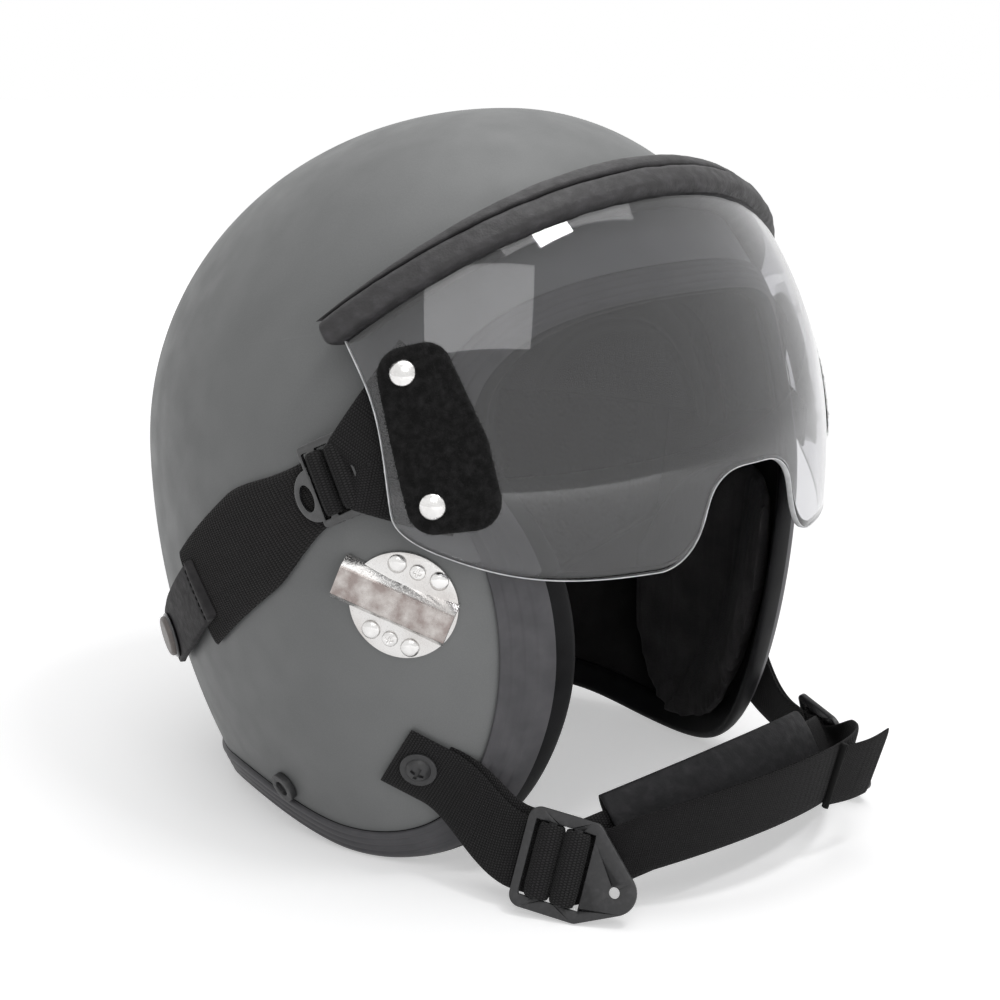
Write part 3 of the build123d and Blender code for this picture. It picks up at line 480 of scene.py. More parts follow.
def make_piece(
    name: str,
    points: Array,
    faces: Sequence,
    side: Side = Side.RIGHT,
    weave: Optional[Array] = None,
    edge_faces: int = 0,
) -> bpy.types.Object:
    """A mesh object at the origin, with merged points and faces that point outwards.

    Args:
        name: The piece's name.
        points: Its points in millimetres.
        faces: Its faces as point numbers.
        side: The side of the helmet that the points are taken to.
        weave: Flat coordinates of each point on the cloth, in millimetres.
        edge_faces: How many faces at the end of the list take the second material.

    Returns:
        The object, in the scene.
    """
    mesh = bpy.data.meshes.new(name)
    placed = points.reshape(-1, 3) * np.array([side.value, 1, 1]) * MM
    mesh.from_pydata(placed.tolist(), [], [tuple(map(int, f)) for f in faces])
    if weave is not None:
        flat = np.zeros((len(placed), 3), np.float32)
        flat[:, :2] = weave.reshape(-1, 2)
        mesh.attributes.new("weave", "FLOAT_VECTOR", "POINT").data.foreach_set("vector", flat.ravel())
    if edge_faces:
        index = np.zeros(len(mesh.polygons), np.int32)
        index[-edge_faces:] = 1
        mesh.polygons.foreach_set("material_index", index)
    tidy_mesh(mesh)
    piece = bpy.data.objects.new(name, mesh)
    bpy.context.scene.collection.objects.link(piece)
    return piece


def tidy_mesh(mesh: bpy.types.Mesh, smooth: bool = True) -> None:
    """Merges doubled points, turns faces outwards and sets smooth shading."""
    shape = bmesh.new()
    shape.from_mesh(mesh)
    bmesh.ops.remove_doubles(shape, verts=shape.verts, dist=CLOSE)
    bmesh.ops.dissolve_degenerate(shape, edges=shape.edges, dist=CLOSE / 2)
    bmesh.ops.recalc_face_normals(shape, faces=shape.faces)
    for face in shape.faces:
        face.smooth = smooth
    shape.to_mesh(mesh)
    shape.free()
    mesh.update()


def sheet_piece(
    name: str, top: Array, bottom: Array, side: Side = Side.RIGHT, wrap: bool = False, **more: object
) -> bpy.types.Object:
    """A closed sheet between two grids of points of the same shape."""
    rows, cols = top.shape[:2]
    count = rows * cols
    grid = np.arange(count).reshape(rows, cols)
    faces = [quads(rows, cols, wrap), quads(rows, cols, wrap, count)]
    if wrap:
        rims = [grid[-1]]
    else:
        rims = [np.concatenate([grid[0], grid[1:, -1], grid[-1, -2::-1], grid[-2:0:-1, 0]])]
    sides = [between(rim, rim + count) for rim in rims]
    points = np.concatenate([top.reshape(-1, 3), bottom.reshape(-1, 3)])
    if more.get("weave") is not None:
        more["weave"] = np.concatenate([more["weave"].reshape(-1, 2)] * 2)
    if more.pop("rim_material", False):
        more["edge_faces"] = sum(map(len, sides))
    return make_piece(name, points, np.concatenate(faces + sides), side, **more)


def two_halves(name: str, top: Array, bottom: Array, rim: int) -> bpy.types.Object:
    """A closed sheet over both sides from the right half's fans.

    Args:
        name: The piece's name.
        top: The outer points by ring and outline point.
        bottom: The inner points in the same order.
        rim: How many of the first outline points lie on the cut edge.

    Returns:
        The piece.
    """
    rows, cols = top.shape[:2]
    count = rows * cols
    edge = np.arange(rim) + (rows - 1) * cols
    half = np.concatenate(
        [quads(rows, cols, True), quads(rows, cols, True, count), between(edge, edge + count, False)]
    )
    points = np.concatenate([top.reshape(-1, 3), bottom.reshape(-1, 3)])
    other = points * np.array([-1, 1, 1])
    return make_piece(
        name, np.concatenate([points, other]), np.concatenate([half, half + len(points)])
    )


def tube_piece(name: str, rings: Array, side: Side = Side.RIGHT, **more: object) -> bpy.types.Object:
    """A closed tube through rings of points, with flat ends."""
    rows, cols = rings.shape[:2]
    last = (rows - 1) * cols
    ends = [list(range(cols)), list(range(last, last + cols))]
    faces = quads(rows, cols, True).tolist() + ends
    return make_piece(name, rings.reshape(-1, 3), faces, side, **more)


def loop_piece(name: str, rings: Array) -> bpy.types.Object:
    """A closed band through rings of points that run back to the first."""
    rows, cols = rings.shape[:2]
    first = np.arange(cols)
    faces = np.concatenate([quads(rows, cols, True), between(first + (rows - 1) * cols, first)])
    return make_piece(name, rings.reshape(-1, 3), faces)


def mark_inside(piece: bpy.types.Object, grow: float) -> None:
    """Gives a piece's faces inside the grown form its second material."""
    for face in piece.data.polygons:
        spot = np.array(face.center) / MM
        if FORM.level(spot, grow) < 0:
            face.material_index = 1


def plain_mesh(piece: bpy.types.Object, name: str) -> bpy.types.Object:
    """The evaluated piece as a plain mesh object, in place of the piece."""
    evaluated = piece.evaluated_get(bpy.context.evaluated_depsgraph_get())
    mesh = bpy.data.meshes.new_from_object(evaluated)
    bpy.data.objects.remove(piece)
    mesh.name = name
    made = bpy.data.objects.new(name, mesh)
    bpy.context.scene.collection.objects.link(made)
    return made


def flat_plate(
    name: str, outlines: Sequence[Array], thick: float, edge: float, seat: Seat, side: Side
) -> bpy.types.Object:
    """A flat plate with holes and rounded edges on a seat.

    Args:
        name: The plate's name.
        outlines: Its outline, then those of its holes, in the seat's coordinates.
        thick: Its thickness.
        edge: The radius of its edges.
        seat: The seat, at the middle of its thickness.
        side: The side of the helmet.

    Returns:
        The plate.
    """
    curve = bpy.data.curves.new(name, "CURVE")
    curve.dimensions = "2D"
    curve.fill_mode = "BOTH"
    for outline in outlines:
        spline = curve.splines.new("POLY")
        spline.points.add(len(outline) - 1)
        for point, (x, y) in zip(spline.points, outline):
            point.co = (x * MM, y * side.value * MM, 0, 1)
        spline.use_cyclic_u = True
    curve.extrude = (thick / 2 - edge) * MM
    curve.bevel_depth = edge * MM
    curve.offset = -edge * MM
    curve.bevel_resolution = 2
    drawn = bpy.data.objects.new(name, curve)
    bpy.context.scene.collection.objects.link(drawn)
    plate = plain_mesh(drawn, name)
    plate.data.transform(seat.matrix(side))
    tidy_mesh(plate.data)
    return plate


def rounded_box(length: float, width: float, radius: float, middle: Sequence = (0, 0)) -> Array:
    """The outline of a rectangle with rounded corners."""
    corners = []
    for turn in range(4):
        angle = np.radians(np.linspace(0, 90, 9) + 90 * turn)
        sx, sy = ((1, 1), (-1, 1), (-1, -1), (1, -1))[turn]
        x = middle[0] + sx * (length / 2 - radius) + radius * np.cos(angle)
        y = middle[1] + sy * (width / 2 - radius) + radius * np.sin(angle)
        corners.append(np.stack([x, y], axis=1))
    return np.concatenate(corners)


def spun(profile: Sequence, steps: int = 40) -> tuple[Array, Array]:
    """Points and faces of a profile turned about the Z axis.

    Args:
        profile: (radius, height) points from the axis out and back to it.
        steps: How many sides a turn has.

    Returns:
        The points and the faces.
    """
    p = np.array(profile, float)
    turn = np.linspace(0, 2 * math.pi, steps, endpoint=False)
    x, y = p[:, :1] * np.cos(turn), p[:, :1] * np.sin(turn)
    z = np.repeat(p[:, 1:], steps, axis=1)
    return np.stack([x, y, z], axis=-1).reshape(-1, 3), quads(len(p), steps, True)


def rough(points: Array, scale: float, seed: float = 0.0) -> Array:
    """Smooth random numbers at points, from about -1 to 1, with features of a given size."""
    flat = points.reshape(-1, 3) / scale + seed
    return np.array([noise.noise(Vector(p)) for p in flat]).reshape(points.shape[:-1])


# Geometry node trees


class Tree:
    """A Geometry Nodes tree under construction, with named inputs."""

    def __init__(self, name: str) -> None:
        """Starts a tree whose geometry comes in and goes out."""
        self.group = bpy.data.node_groups.new(name, "GeometryNodeTree")
        self.face = self.group.interface
        self.face.new_socket("Geometry", in_out="INPUT", socket_type="NodeSocketGeometry")
        self.face.new_socket("Geometry", in_out="OUTPUT", socket_type="NodeSocketGeometry")
        self.start = self.group.nodes.new("NodeGroupInput")
        self.end = self.group.nodes.new("NodeGroupOutput")

    def size(self, name: str, kind: str = "NodeSocketFloat") -> object:
        """A named input, and the socket that gives its value."""
        self.face.new_socket(name, in_out="INPUT", socket_type=kind)
        return self.start.outputs[name]

    def node(self, kind: str, inputs: Optional[dict] = None, **settings: object) -> bpy.types.Node:
        """A node with its settings, and its inputs linked or set."""
        made = self.group.nodes.new(kind)
        for key, value in settings.items():
            setattr(made, key, value)
        for key, value in (inputs or {}).items():
            if isinstance(value, bpy.types.NodeSocket):
                self.group.links.new(value, made.inputs[key])
            else:
                made.inputs[key].default_value = value
        return made

    def finish(self, geometry: object, material: object) -> None:
        """Ends the tree in realized instances with a material."""
        real = self.node("GeometryNodeRealizeInstances", {0: geometry})
        dressed = self.node("GeometryNodeSetMaterial", {"Geometry": real.outputs[0], "Material": material})
        self.group.links.new(dressed.outputs[0], self.end.inputs[0])

    def applied(self, piece: bpy.types.Object, values: dict) -> bpy.types.Object:
        """A piece with the tree applied to it as a plain mesh.

        Args:
            piece: The object that the tree works on.
            values: The tree's inputs by name.

        Returns:
            The new object, with the piece's name.
        """
        name = piece.name
        piece.name = name + "_base"
        worker = piece.modifiers.new("tree", "NODES")
        worker.node_group = self.group
        for item in self.face.items_tree:
            if item.item_type == "SOCKET" and item.in_out == "INPUT" and item.name in values:
                worker[item.identifier] = values[item.name]
        return plain_mesh(piece, name)


def form_tree() -> Tree:
    """A tree that takes directions and a grow attribute to the helmet's four-quarter form."""
    tree = Tree("HelmetForm")
    sizes = {n: tree.size(n) for n in ("Half width", "Front", "Back", "Top", "Low")}
    middle = tree.size("Centre", "NodeSocketVector")
    material = tree.size("Material", "NodeSocketMaterial")
    grow = tree.node("GeometryNodeInputNamedAttribute", {"Name": "grow"}, data_type="FLOAT")
    spot = tree.node("GeometryNodeInputPosition")
    split = tree.node("ShaderNodeSeparateXYZ", {0: spot.outputs[0]})
    parts = []
    for axis, below, above in ((0, "Half width", "Half width"), (1, "Front", "Back"), (2, "Low", "Top")):
        positive = tree.node("FunctionNodeCompare", {0: split.outputs[axis], 1: 0.0})
        size = tree.node(
            "GeometryNodeSwitch",
            {"Switch": positive.outputs[0], "False": sizes[below], "True": sizes[above]},
            input_type="FLOAT",
        )
        grown = tree.node("ShaderNodeMath", {0: size.outputs[0], 1: grow.outputs[0]}, operation="ADD")
        out = tree.node("ShaderNodeMath", {0: grown.outputs[0], 1: split.outputs[axis]}, operation="MULTIPLY")
        parts.append(out.outputs[0])
    joined = tree.node("ShaderNodeCombineXYZ", dict(enumerate(parts)))
    moved = tree.node("ShaderNodeVectorMath", {0: joined.outputs[0], 1: middle}, operation="ADD")
    scaled = tree.node("ShaderNodeVectorMath", {0: moved.outputs[0]}, operation="SCALE")
    scaled.inputs["Scale"].default_value = MM
    placed = tree.node(
        "GeometryNodeSetPosition", {"Geometry": tree.start.outputs[0], "Position": scaled.outputs[0]}
    )
    tree.finish(placed.outputs[0], material)
    return tree


def scatter_tree() -> Tree:
    """A tree that sets a piece on points, turned by their own directions."""
    tree = Tree("SetOnPoints")
    shape = tree.size("Shape", "NodeSocketObject")
    material = tree.size("Material", "NodeSocketMaterial")
    info = tree.node("GeometryNodeObjectInfo", {"Object": shape})
    out = tree.node("GeometryNodeInputNamedAttribute", {"Name": "out"}, data_type="FLOAT_VECTOR")
    run = tree.node("GeometryNodeInputNamedAttribute", {"Name": "run"}, data_type="FLOAT_VECTOR")
    upright = tree.node("FunctionNodeAlignRotationToVector", {"Vector": out.outputs[0]}, axis="Z")
    turned = tree.node(
        "FunctionNodeAlignRotationToVector",
        {"Rotation": upright.outputs[0], "Vector": run.outputs[0]},
        axis="X",
        pivot_axis="Z",
    )
    spread = tree.node(
        "GeometryNodeInstanceOnPoints",
        {
            "Points": tree.start.outputs[0],
            "Instance": info.outputs["Geometry"],
            "Rotation": turned.outputs[0],
        },
    )
    tree.finish(spread.outputs[0], material)
    return tree


def fibre_tree() -> Tree:
    """A tree that covers a piece's outer faces with short fibres."""
    tree = Tree("FeltFibres")
    shape = tree.size("Fibre", "NodeSocketObject")
    density = tree.size("Density")
    seed = tree.size("Seed", "NodeSocketInt")
    material = tree.size("Material", "NodeSocketMaterial")
    info = tree.node("GeometryNodeObjectInfo", {"Object": shape})
    pick = tree.node("GeometryNodeInputNamedAttribute", {"Name": "outer"}, data_type="FLOAT")
    cast = tree.node(
        "GeometryNodeDistributePointsOnFaces",
        {"Mesh": tree.start.outputs[0], "Selection": pick.outputs[0], "Density": density, "Seed": seed},
    )
    lean = tree.node(
        "FunctionNodeRandomValue",
        {0: (-0.9, -0.9, -3.1), 1: (0.9, 0.9, 3.1), "Seed": seed},
        data_type="FLOAT_VECTOR",
    )
    turned = tree.node(
        "FunctionNodeRotateRotation",
        {"Rotation": cast.outputs["Rotation"], "Rotate By": lean.outputs[0]},
        rotation_space="LOCAL",
    )
    size = tree.node("FunctionNodeRandomValue", {2: 0.5, 3: 1.3, "Seed": seed}, data_type="FLOAT")
    spread = tree.node(
        "GeometryNodeInstanceOnPoints",
        {
            "Points": cast.outputs["Points"],
            "Instance": info.outputs["Geometry"],
            "Rotation": turned.outputs[0],
            "Scale": size.outputs[1],
        },
    )
    both = tree.node("GeometryNodeJoinGeometry")
    tree.group.links.new(spread.outputs[0], both.inputs[0])
    tree.group.links.new(tree.start.outputs[0], both.inputs[0])
    tree.finish(both.outputs[0], material)
    return tree


class Trees:
    """The node trees that several sub-assemblies share."""

    def __init__(self) -> None:
        """Builds each tree once."""
        self.form = form_tree()
        self.scatter = scatter_tree()
        self.fibres = fibre_tree()


def set_on(
    trees: Trees,
    name: str,
    shape: bpy.types.Object,
    seats: Sequence[Seat],
    side: Side,
    material: bpy.types.Material,
) -> bpy.types.Object:
    """One mesh of a shape set on several seats.

    Args:
        trees: The shared node trees.
        name: The new piece's name.
        shape: The shape, drawn on the Z axis.
        seats: Where it goes.
        side: The side of the helmet.
        material: Its material.

    Returns:
        The piece. The shape is removed.
    """
    flip = np.array([side.value, 1, 1])
    mesh = bpy.data.meshes.new(name)
    mesh.from_pydata([(seat.origin * flip * MM).tolist() for seat in seats], [], [])
    for key, vectors in (("out", [s.out for s in seats]), ("run", [s.along for s in seats])):
        layer = mesh.attributes.new(key, "FLOAT_VECTOR", "POINT")
        layer.data.foreach_set("vector", (np.array(vectors) * flip).astype(np.float32).ravel())
    points = bpy.data.objects.new(name, mesh)
    bpy.context.scene.collection.objects.link(points)
    made = trees.scatter.applied(points, {"Shape": shape, "Material": material})
    tidy_mesh(made.data)
    bpy.data.objects.remove(shape)
    return made


# Finishes


class Paint:
    """A material's node tree under construction, measured in millimetres of the object."""

    def __init__(self, name: str) -> None:
        """Starts a material with one principled shader."""
        self.material = bpy.data.materials.new(name)
        self.material.use_nodes = True
        self.tree = self.material.node_tree
        self.tree.nodes.clear()
        self.shader = self.tree.nodes.new("ShaderNodeBsdfPrincipled")
        output = self.tree.nodes.new("ShaderNodeOutputMaterial")
        self.tree.links.new(self.shader.outputs[0], output.inputs[0])
        self.spot = self.mapped(self.tree.nodes.new("ShaderNodeTexCoord").outputs["Object"], (1000,) * 3)

    def node(self, kind: str, inputs: Optional[dict] = None, **settings: object) -> bpy.types.Node:
        """A node with its settings, and its inputs linked or set."""
        made = self.tree.nodes.new(kind)
        for key, value in settings.items():
            setattr(made, key, value)
        for key, value in (inputs or {}).items():
            if isinstance(value, bpy.types.NodeSocket):
                self.tree.links.new(value, made.inputs[key])
            else:
                made.inputs[key].default_value = value
        return made

    def mapped(self, vector: object, scale: Sequence) -> object:
        """A vector stretched along its axes."""
        return self.node("ShaderNodeMapping", {"Vector": vector, "Scale": tuple(scale)}).outputs[0]

    def weave(self) -> object:
        """The piece's own cloth coordinates, in millimetres."""
        return self.node("ShaderNodeAttribute", attribute_name="weave").outputs["Vector"]

    def noise(self, size: float, detail: float = 3.0, stretch: Sequence = (1, 1, 1), spot: object = None) -> object:
        """Smooth random numbers with features of a size in millimetres."""
        vector = self.mapped(spot or self.spot, [s / size for s in stretch])
        made = self.node("ShaderNodeTexNoise", {"Vector": vector, "Scale": 1.0, "Detail": detail})
        return made.outputs["Fac"]

    def cells(self, size: float, stretch: Sequence = (1, 1, 1)) -> object:
        """Distances to random points a size apart."""
        vector = self.mapped(self.spot, [s / size for s in stretch])
        return self.node("ShaderNodeTexVoronoi", {"Vector": vector, "Scale": 1.0}).outputs["Distance"]

    def math(self, kind: str, a: object, b: object = 0.0) -> object:
        """One arithmetic step."""
        return self.node("ShaderNodeMath", {0: a, 1: b}, operation=kind).outputs[0]

    def span(self, value: object, low: float, high: float, to_low: float = 0.0, to_high: float = 1.0) -> object:
        """A value taken from one span to another, and kept inside it."""
        sockets = {0: value, 1: low, 2: high, 3: to_low, 4: to_high}
        return self.node("ShaderNodeMapRange", sockets).outputs[0]

    def blend(self, share: object, a: object, b: object) -> object:
        """Two colours mixed by a share."""
        full = [(*c, 1.0) if isinstance(c, tuple) else c for c in (a, b)]
        mix = self.node("ShaderNodeMix", {0: share, 6: full[0], 7: full[1]}, data_type="RGBA")
        return mix.outputs[2]

    def bump(self, height: object, distance: float, below: object = None, strength: float = 1.0) -> object:
        """A bumped normal from a height from 0 to 1, with its depth in millimetres."""
        sockets = {"Height": height, "Distance": distance * MM, "Strength": strength}
        if below is not None:
            sockets["Normal"] = below
        return self.node("ShaderNodeBump", sockets).outputs[0]

    def dress(self, colour: object, roughness: object, normal: object = None, **fixed: float) -> bpy.types.Material:
        """Joins colour, roughness and normal to the shader, with constants by socket name.

        Args:
            colour: The base colour, as a socket or three numbers.
            roughness: The roughness, as a socket or a number.
            normal: The bumped normal, if any.
            fixed: Constants of other sockets, with spaces written as underscores.

        Returns:
            The finished material.
        """
        sockets = {"Base Color": colour, "Roughness": roughness, "Normal": normal}
        for key, value in fixed.items():
            sockets[key.replace("_", " ")] = value
        for key, value in sockets.items():
            if isinstance(value, bpy.types.NodeSocket):
                self.tree.links.new(value, self.shader.inputs[key])
            elif isinstance(value, tuple) and len(value) == 3 and key != "Normal":
                self.shader.inputs[key].default_value = (*value, 1.0)
            elif value is not None:
                self.shader.inputs[key].default_value = value
        return self.material


@dataclass(frozen=True)
class Coating:
    """The shell's satin grey coating."""

    base: Colour = (0.166, 0.170, 0.170)
    dark: Colour = (0.142, 0.145, 0.146)
    roughness: float = 0.5

    def material(self) -> bpy.types.Material:
        """A fine speckle, slow drifts of tone and an orange-peel surface."""
        paint = Paint("shell_grey")
        speckle = paint.span(paint.noise(0.35, 2), 0.42, 0.6)
        drift = paint.span(paint.noise(55, 3), 0.35, 0.65)
        tone = paint.blend(paint.math("MULTIPLY", drift, 0.55), self.base, self.dark)
        lighter = tuple(c * 1.12 for c in self.base)
        colour = paint.blend(paint.math("MULTIPLY", speckle, 0.4), tone, lighter)
        rough = paint.span(paint.noise(14, 4), 0.3, 0.7, self.roughness - 0.06, self.roughness + 0.08)
        peel = paint.bump(paint.noise(0.9, 2), 0.03)
        return paint.dress(colour, rough, peel, Specular_IOR_Level=0.42)


@dataclass(frozen=True)
class Rubber:
    """Moulded rubber of the edge trim."""

    name: str = "trim_rubber"
    base: Colour = (0.062, 0.061, 0.066)
    worn: Colour = (0.092, 0.090, 0.096)
    shine: float = 0.35

    def material(self) -> bpy.types.Material:
        """A dull surface with lengthwise bloom and fine grain."""
        paint = Paint(self.name)
        bloom = paint.span(paint.noise(9, 4), 0.35, 0.75)
        colour = paint.blend(bloom, self.base, self.worn)
        grain = paint.bump(paint.noise(0.5, 3), 0.05)
        return paint.dress(colour, paint.span(bloom, 0, 1, 0.5, 0.62), grain, Specular_IOR_Level=self.shine)


@dataclass(frozen=True)
class Foam:
    """Rigid bead foam under the crown."""

    base: Colour = (0.012, 0.012, 0.012)

    def material(self) -> bpy.types.Material:
        """Small beads pressed together."""
        paint = Paint("liner_foam")
        beads = paint.cells(2.6)
        colour = paint.blend(paint.span(beads, 0.1, 0.8), tuple(c * 1.6 for c in self.base), self.base)
        return paint.dress(colour, 0.85, paint.bump(paint.span(beads, 0.7, 0.1), 0.35), Specular_IOR_Level=0.15)


@dataclass(frozen=True)
class Lining:
    """Black napped cloth of the pads."""

    name: str = "cloth_black"
    base: Colour = (0.007, 0.007, 0.007)
    pile: Colour = (0.024, 0.022, 0.023)

    def material(self) -> bpy.types.Material:
        """A short nap with soft tone changes and a slight sheen."""
        paint = Paint(self.name)
        nap = paint.noise(0.45, 4)
        drift = paint.span(paint.noise(18, 3), 0.35, 0.7)
        colour = paint.blend(paint.math("MULTIPLY", nap, drift), self.base, self.pile)
        surface = paint.bump(nap, 0.25, paint.bump(paint.noise(2.6, 2), 0.12))
        fixed = {"Specular_IOR_Level": 0.12, "Sheen_Weight": 0.05, "Sheen_Roughness": 0.6}
        return paint.dress(colour, 0.92, surface, **fixed)


@dataclass(frozen=True)
class Skin:
    """Leather-like cloth: the edge roll, the chin sleeve and the rear tabs."""

    name: str
    base: Colour
    # The colour of the wrinkle crests: partly wear, partly a painted highlight.
    light: Colour
    roughness: float = 0.46
    crease: float = 0.16
    shine: float = 0.4

    def material(self) -> bpy.types.Material:
        """Pebbled grain with long soft wrinkles, their crests lighter as rubbed wear and as a painted highlight."""
        paint = Paint(self.name)
        pebble = paint.cells(0.8)
        wrinkle = paint.noise(5, 5, (1.0, 1.0, 1.6))
        # Lighter where the wrinkle bump rises: rubbed wear and a painted highlight.
        rubbed = paint.span(wrinkle, 0.45, 0.75)
        colour = paint.blend(rubbed, self.base, self.light)
        surface = paint.bump(pebble, 0.07, paint.bump(wrinkle, self.crease * 2))
        rough = paint.span(paint.noise(3, 3), 0.3, 0.7, self.roughness, self.roughness + 0.14)
        return paint.dress(colour, rough, surface, Specular_IOR_Level=self.shine)


@dataclass(frozen=True)
class Felt:
    """Fuzzy hooked cloth of the visor patches."""

    base: Colour = (0.008, 0.008, 0.008)
    tip: Colour = (0.034, 0.033, 0.034)

    def material(self) -> bpy.types.Material:
        """Matted fibres with paler clumps."""
        paint = Paint("patch_black")
        mat = paint.noise(0.5, 5)
        clump = paint.span(paint.noise(2.4, 4), 0.4, 0.75)
        colour = paint.blend(paint.math("MULTIPLY", clump, mat), self.base, self.tip)
        fixed = {"Specular_IOR_Level": 0.08, "Sheen_Weight": 0.06, "Sheen_Roughness": 0.5}
        return paint.dress(colour, 0.95, paint.bump(mat, 0.4), **fixed)


@dataclass(frozen=True)
class Webbing:
    """Woven tape, with its threads laid along the piece's own cloth coordinates."""

    name: str
    thread: Colour
    # The colour of the hollows between strands: painted shade.
    gap: Colour
    rib: float
    strand: float

    def material(self) -> bpy.types.Material:
        """Strands side by side in ribs, each rib shifted by half a strand, with painted shade in the hollows between
        them.
        """
        paint = Paint(self.name)
        flat = paint.node("ShaderNodeSeparateXYZ", {0: paint.weave()})
        row = paint.math("FLOOR", paint.math("DIVIDE", flat.outputs[0], self.rib))
        across = paint.math("DIVIDE", flat.outputs[1], self.strand)
        shifted = paint.math("ADD", across, paint.math("MULTIPLY", row, 0.5))
        strand = paint.math("ABSOLUTE", paint.math("SINE", paint.math("MULTIPLY", shifted, math.pi)))
        along = paint.math("MULTIPLY", paint.math("DIVIDE", flat.outputs[0], self.rib), math.pi)
        rib = paint.math("ABSOLUTE", paint.math("SINE", along))
        height = paint.math("MULTIPLY", strand, paint.math("SQRT", rib))
        fuzz = paint.noise(0.2, 3)
        lit = paint.math("MULTIPLY", height, paint.span(fuzz, 0.3, 0.7, 0.5, 1.0))
        # The weave's low places take the dark gap colour: painted shade.
        colour = paint.blend(lit, self.gap, self.thread)
        surface = paint.bump(height, 0.22, paint.bump(fuzz, 0.06))
        return paint.dress(colour, 0.8, surface, Specular_IOR_Level=0.14, Sheen_Weight=0.03)


@dataclass(frozen=True)
class Glass:
    """The visor's clear smoke sheet."""

    tint: Colour = (0.60, 0.60, 0.62)

    def material(self) -> bpy.types.Material:
        """A polished sheet, a little uneven in tone."""
        paint = Paint("lens_smoke")
        smear = paint.span(paint.noise(26, 4), 0.45, 0.8)
        tone = paint.blend(smear, self.tint, tuple(c * 0.93 for c in self.tint))
        return paint.dress(tone, 0.0, None, Transmission_Weight=1.0, IOR=1.58)

    def edge(self) -> bpy.types.Material:
        """The sheet's sawn and rubbed edge, coloured pale as a painted highlight where it gathers light."""
        paint = Paint("lens_edge")
        # Pale tones up to near white stand for the light that gathers along the edge: painted highlight.
        tone = paint.blend(paint.span(paint.noise(5, 4), 0.35, 0.7), (0.62, 0.63, 0.64), (0.92, 0.92, 0.93))
        return paint.dress(tone, 0.3, paint.bump(paint.noise(0.4, 2), 0.03), Transmission_Weight=0.1)


@dataclass(frozen=True)
class Metal:
    """Plated metal with rubbed tones and fine scratches."""

    name: str
    base: Colour
    stain: Colour
    roughness: float
    scratch: float = 0.3
    dent: float = 0.02
    cloud: float = 16.0
    worn: Colour = (0.30, 0.255, 0.24)
    channel: float = 3.7

    def above(self, paint: Paint, seat: Seat) -> object:
        """How far a point is up on the plate's channel, on either side of the helmet."""
        split = paint.node("ShaderNodeSeparateXYZ", {0: paint.spot})
        away = paint.math("MULTIPLY", paint.math("ABSOLUTE", split.outputs[0]), -1.0)
        total: object = -float(seat.origin @ seat.out)
        for value, factor in zip((away, split.outputs[1], split.outputs[2]), seat.out):
            total = paint.math("ADD", paint.math("MULTIPLY", value, float(factor)), total)
        return paint.span(total, self.channel - 0.5, self.channel)

    def material(self, raised: Optional[Seat] = None) -> bpy.types.Material:
        """Cloudy stains, crossing scratches and a slightly uneven surface.

        Args:
            raised: The seat of a plate whose raised channel is worn brown, if any.

        Returns:
            The finished material.
        """
        paint = Paint(self.name)
        cloud = paint.span(paint.noise(self.cloud, 3), 0.4, 0.75)
        colour = paint.blend(cloud, self.base, self.stain)
        if raised is not None:
            worn = paint.blend(paint.span(paint.noise(5, 4), 0.35, 0.7), self.worn, self.stain)
            colour = paint.blend(self.above(paint, raised), colour, worn)
        scratches = []
        for stretch in ((0.06, 1.0, 0.5), (1.0, 0.08, 0.3)):
            scratches.append(paint.span(paint.noise(0.22, 2, stretch), 0.60, 0.68))
        lines = paint.math("MAXIMUM", *scratches)
        rough = paint.math("ADD", paint.math("MULTIPLY", lines, self.scratch), self.roughness)
        rough = paint.math("ADD", rough, paint.math("MULTIPLY", cloud, 0.1))
        surface = paint.bump(paint.noise(1.6, 3), self.dent, paint.bump(lines, 0.01))
        return paint.dress(colour, rough, surface, Metallic=1.0)


@dataclass(frozen=True)
class Enamel:
    """Baked lacquer on steel: black fittings and the brown-grey snap caps."""

    name: str
    base: Colour
    worn: Colour
    roughness: float = 0.24
    coat: float = 0.7

    def material(self) -> bpy.types.Material:
        """A glossy skin, dusted and a little rippled."""
        paint = Paint(self.name)
        dust = paint.span(paint.noise(2.2, 5), 0.5, 0.8)
        colour = paint.blend(dust, self.base, self.worn)
        rough = paint.span(paint.noise(1.2, 4), 0.3, 0.75, self.roughness, self.roughness + 0.2)
        ripple = paint.bump(paint.noise(2.5, 2), 0.04)
        return paint.dress(colour, rough, ripple, Coat_Weight=self.coat, Coat_Roughness=0.08)


RAISED = FORM.seat(FORM.place((-0.48, -0.214)), FORM.place((-0.70, -0.31)), 0.3)


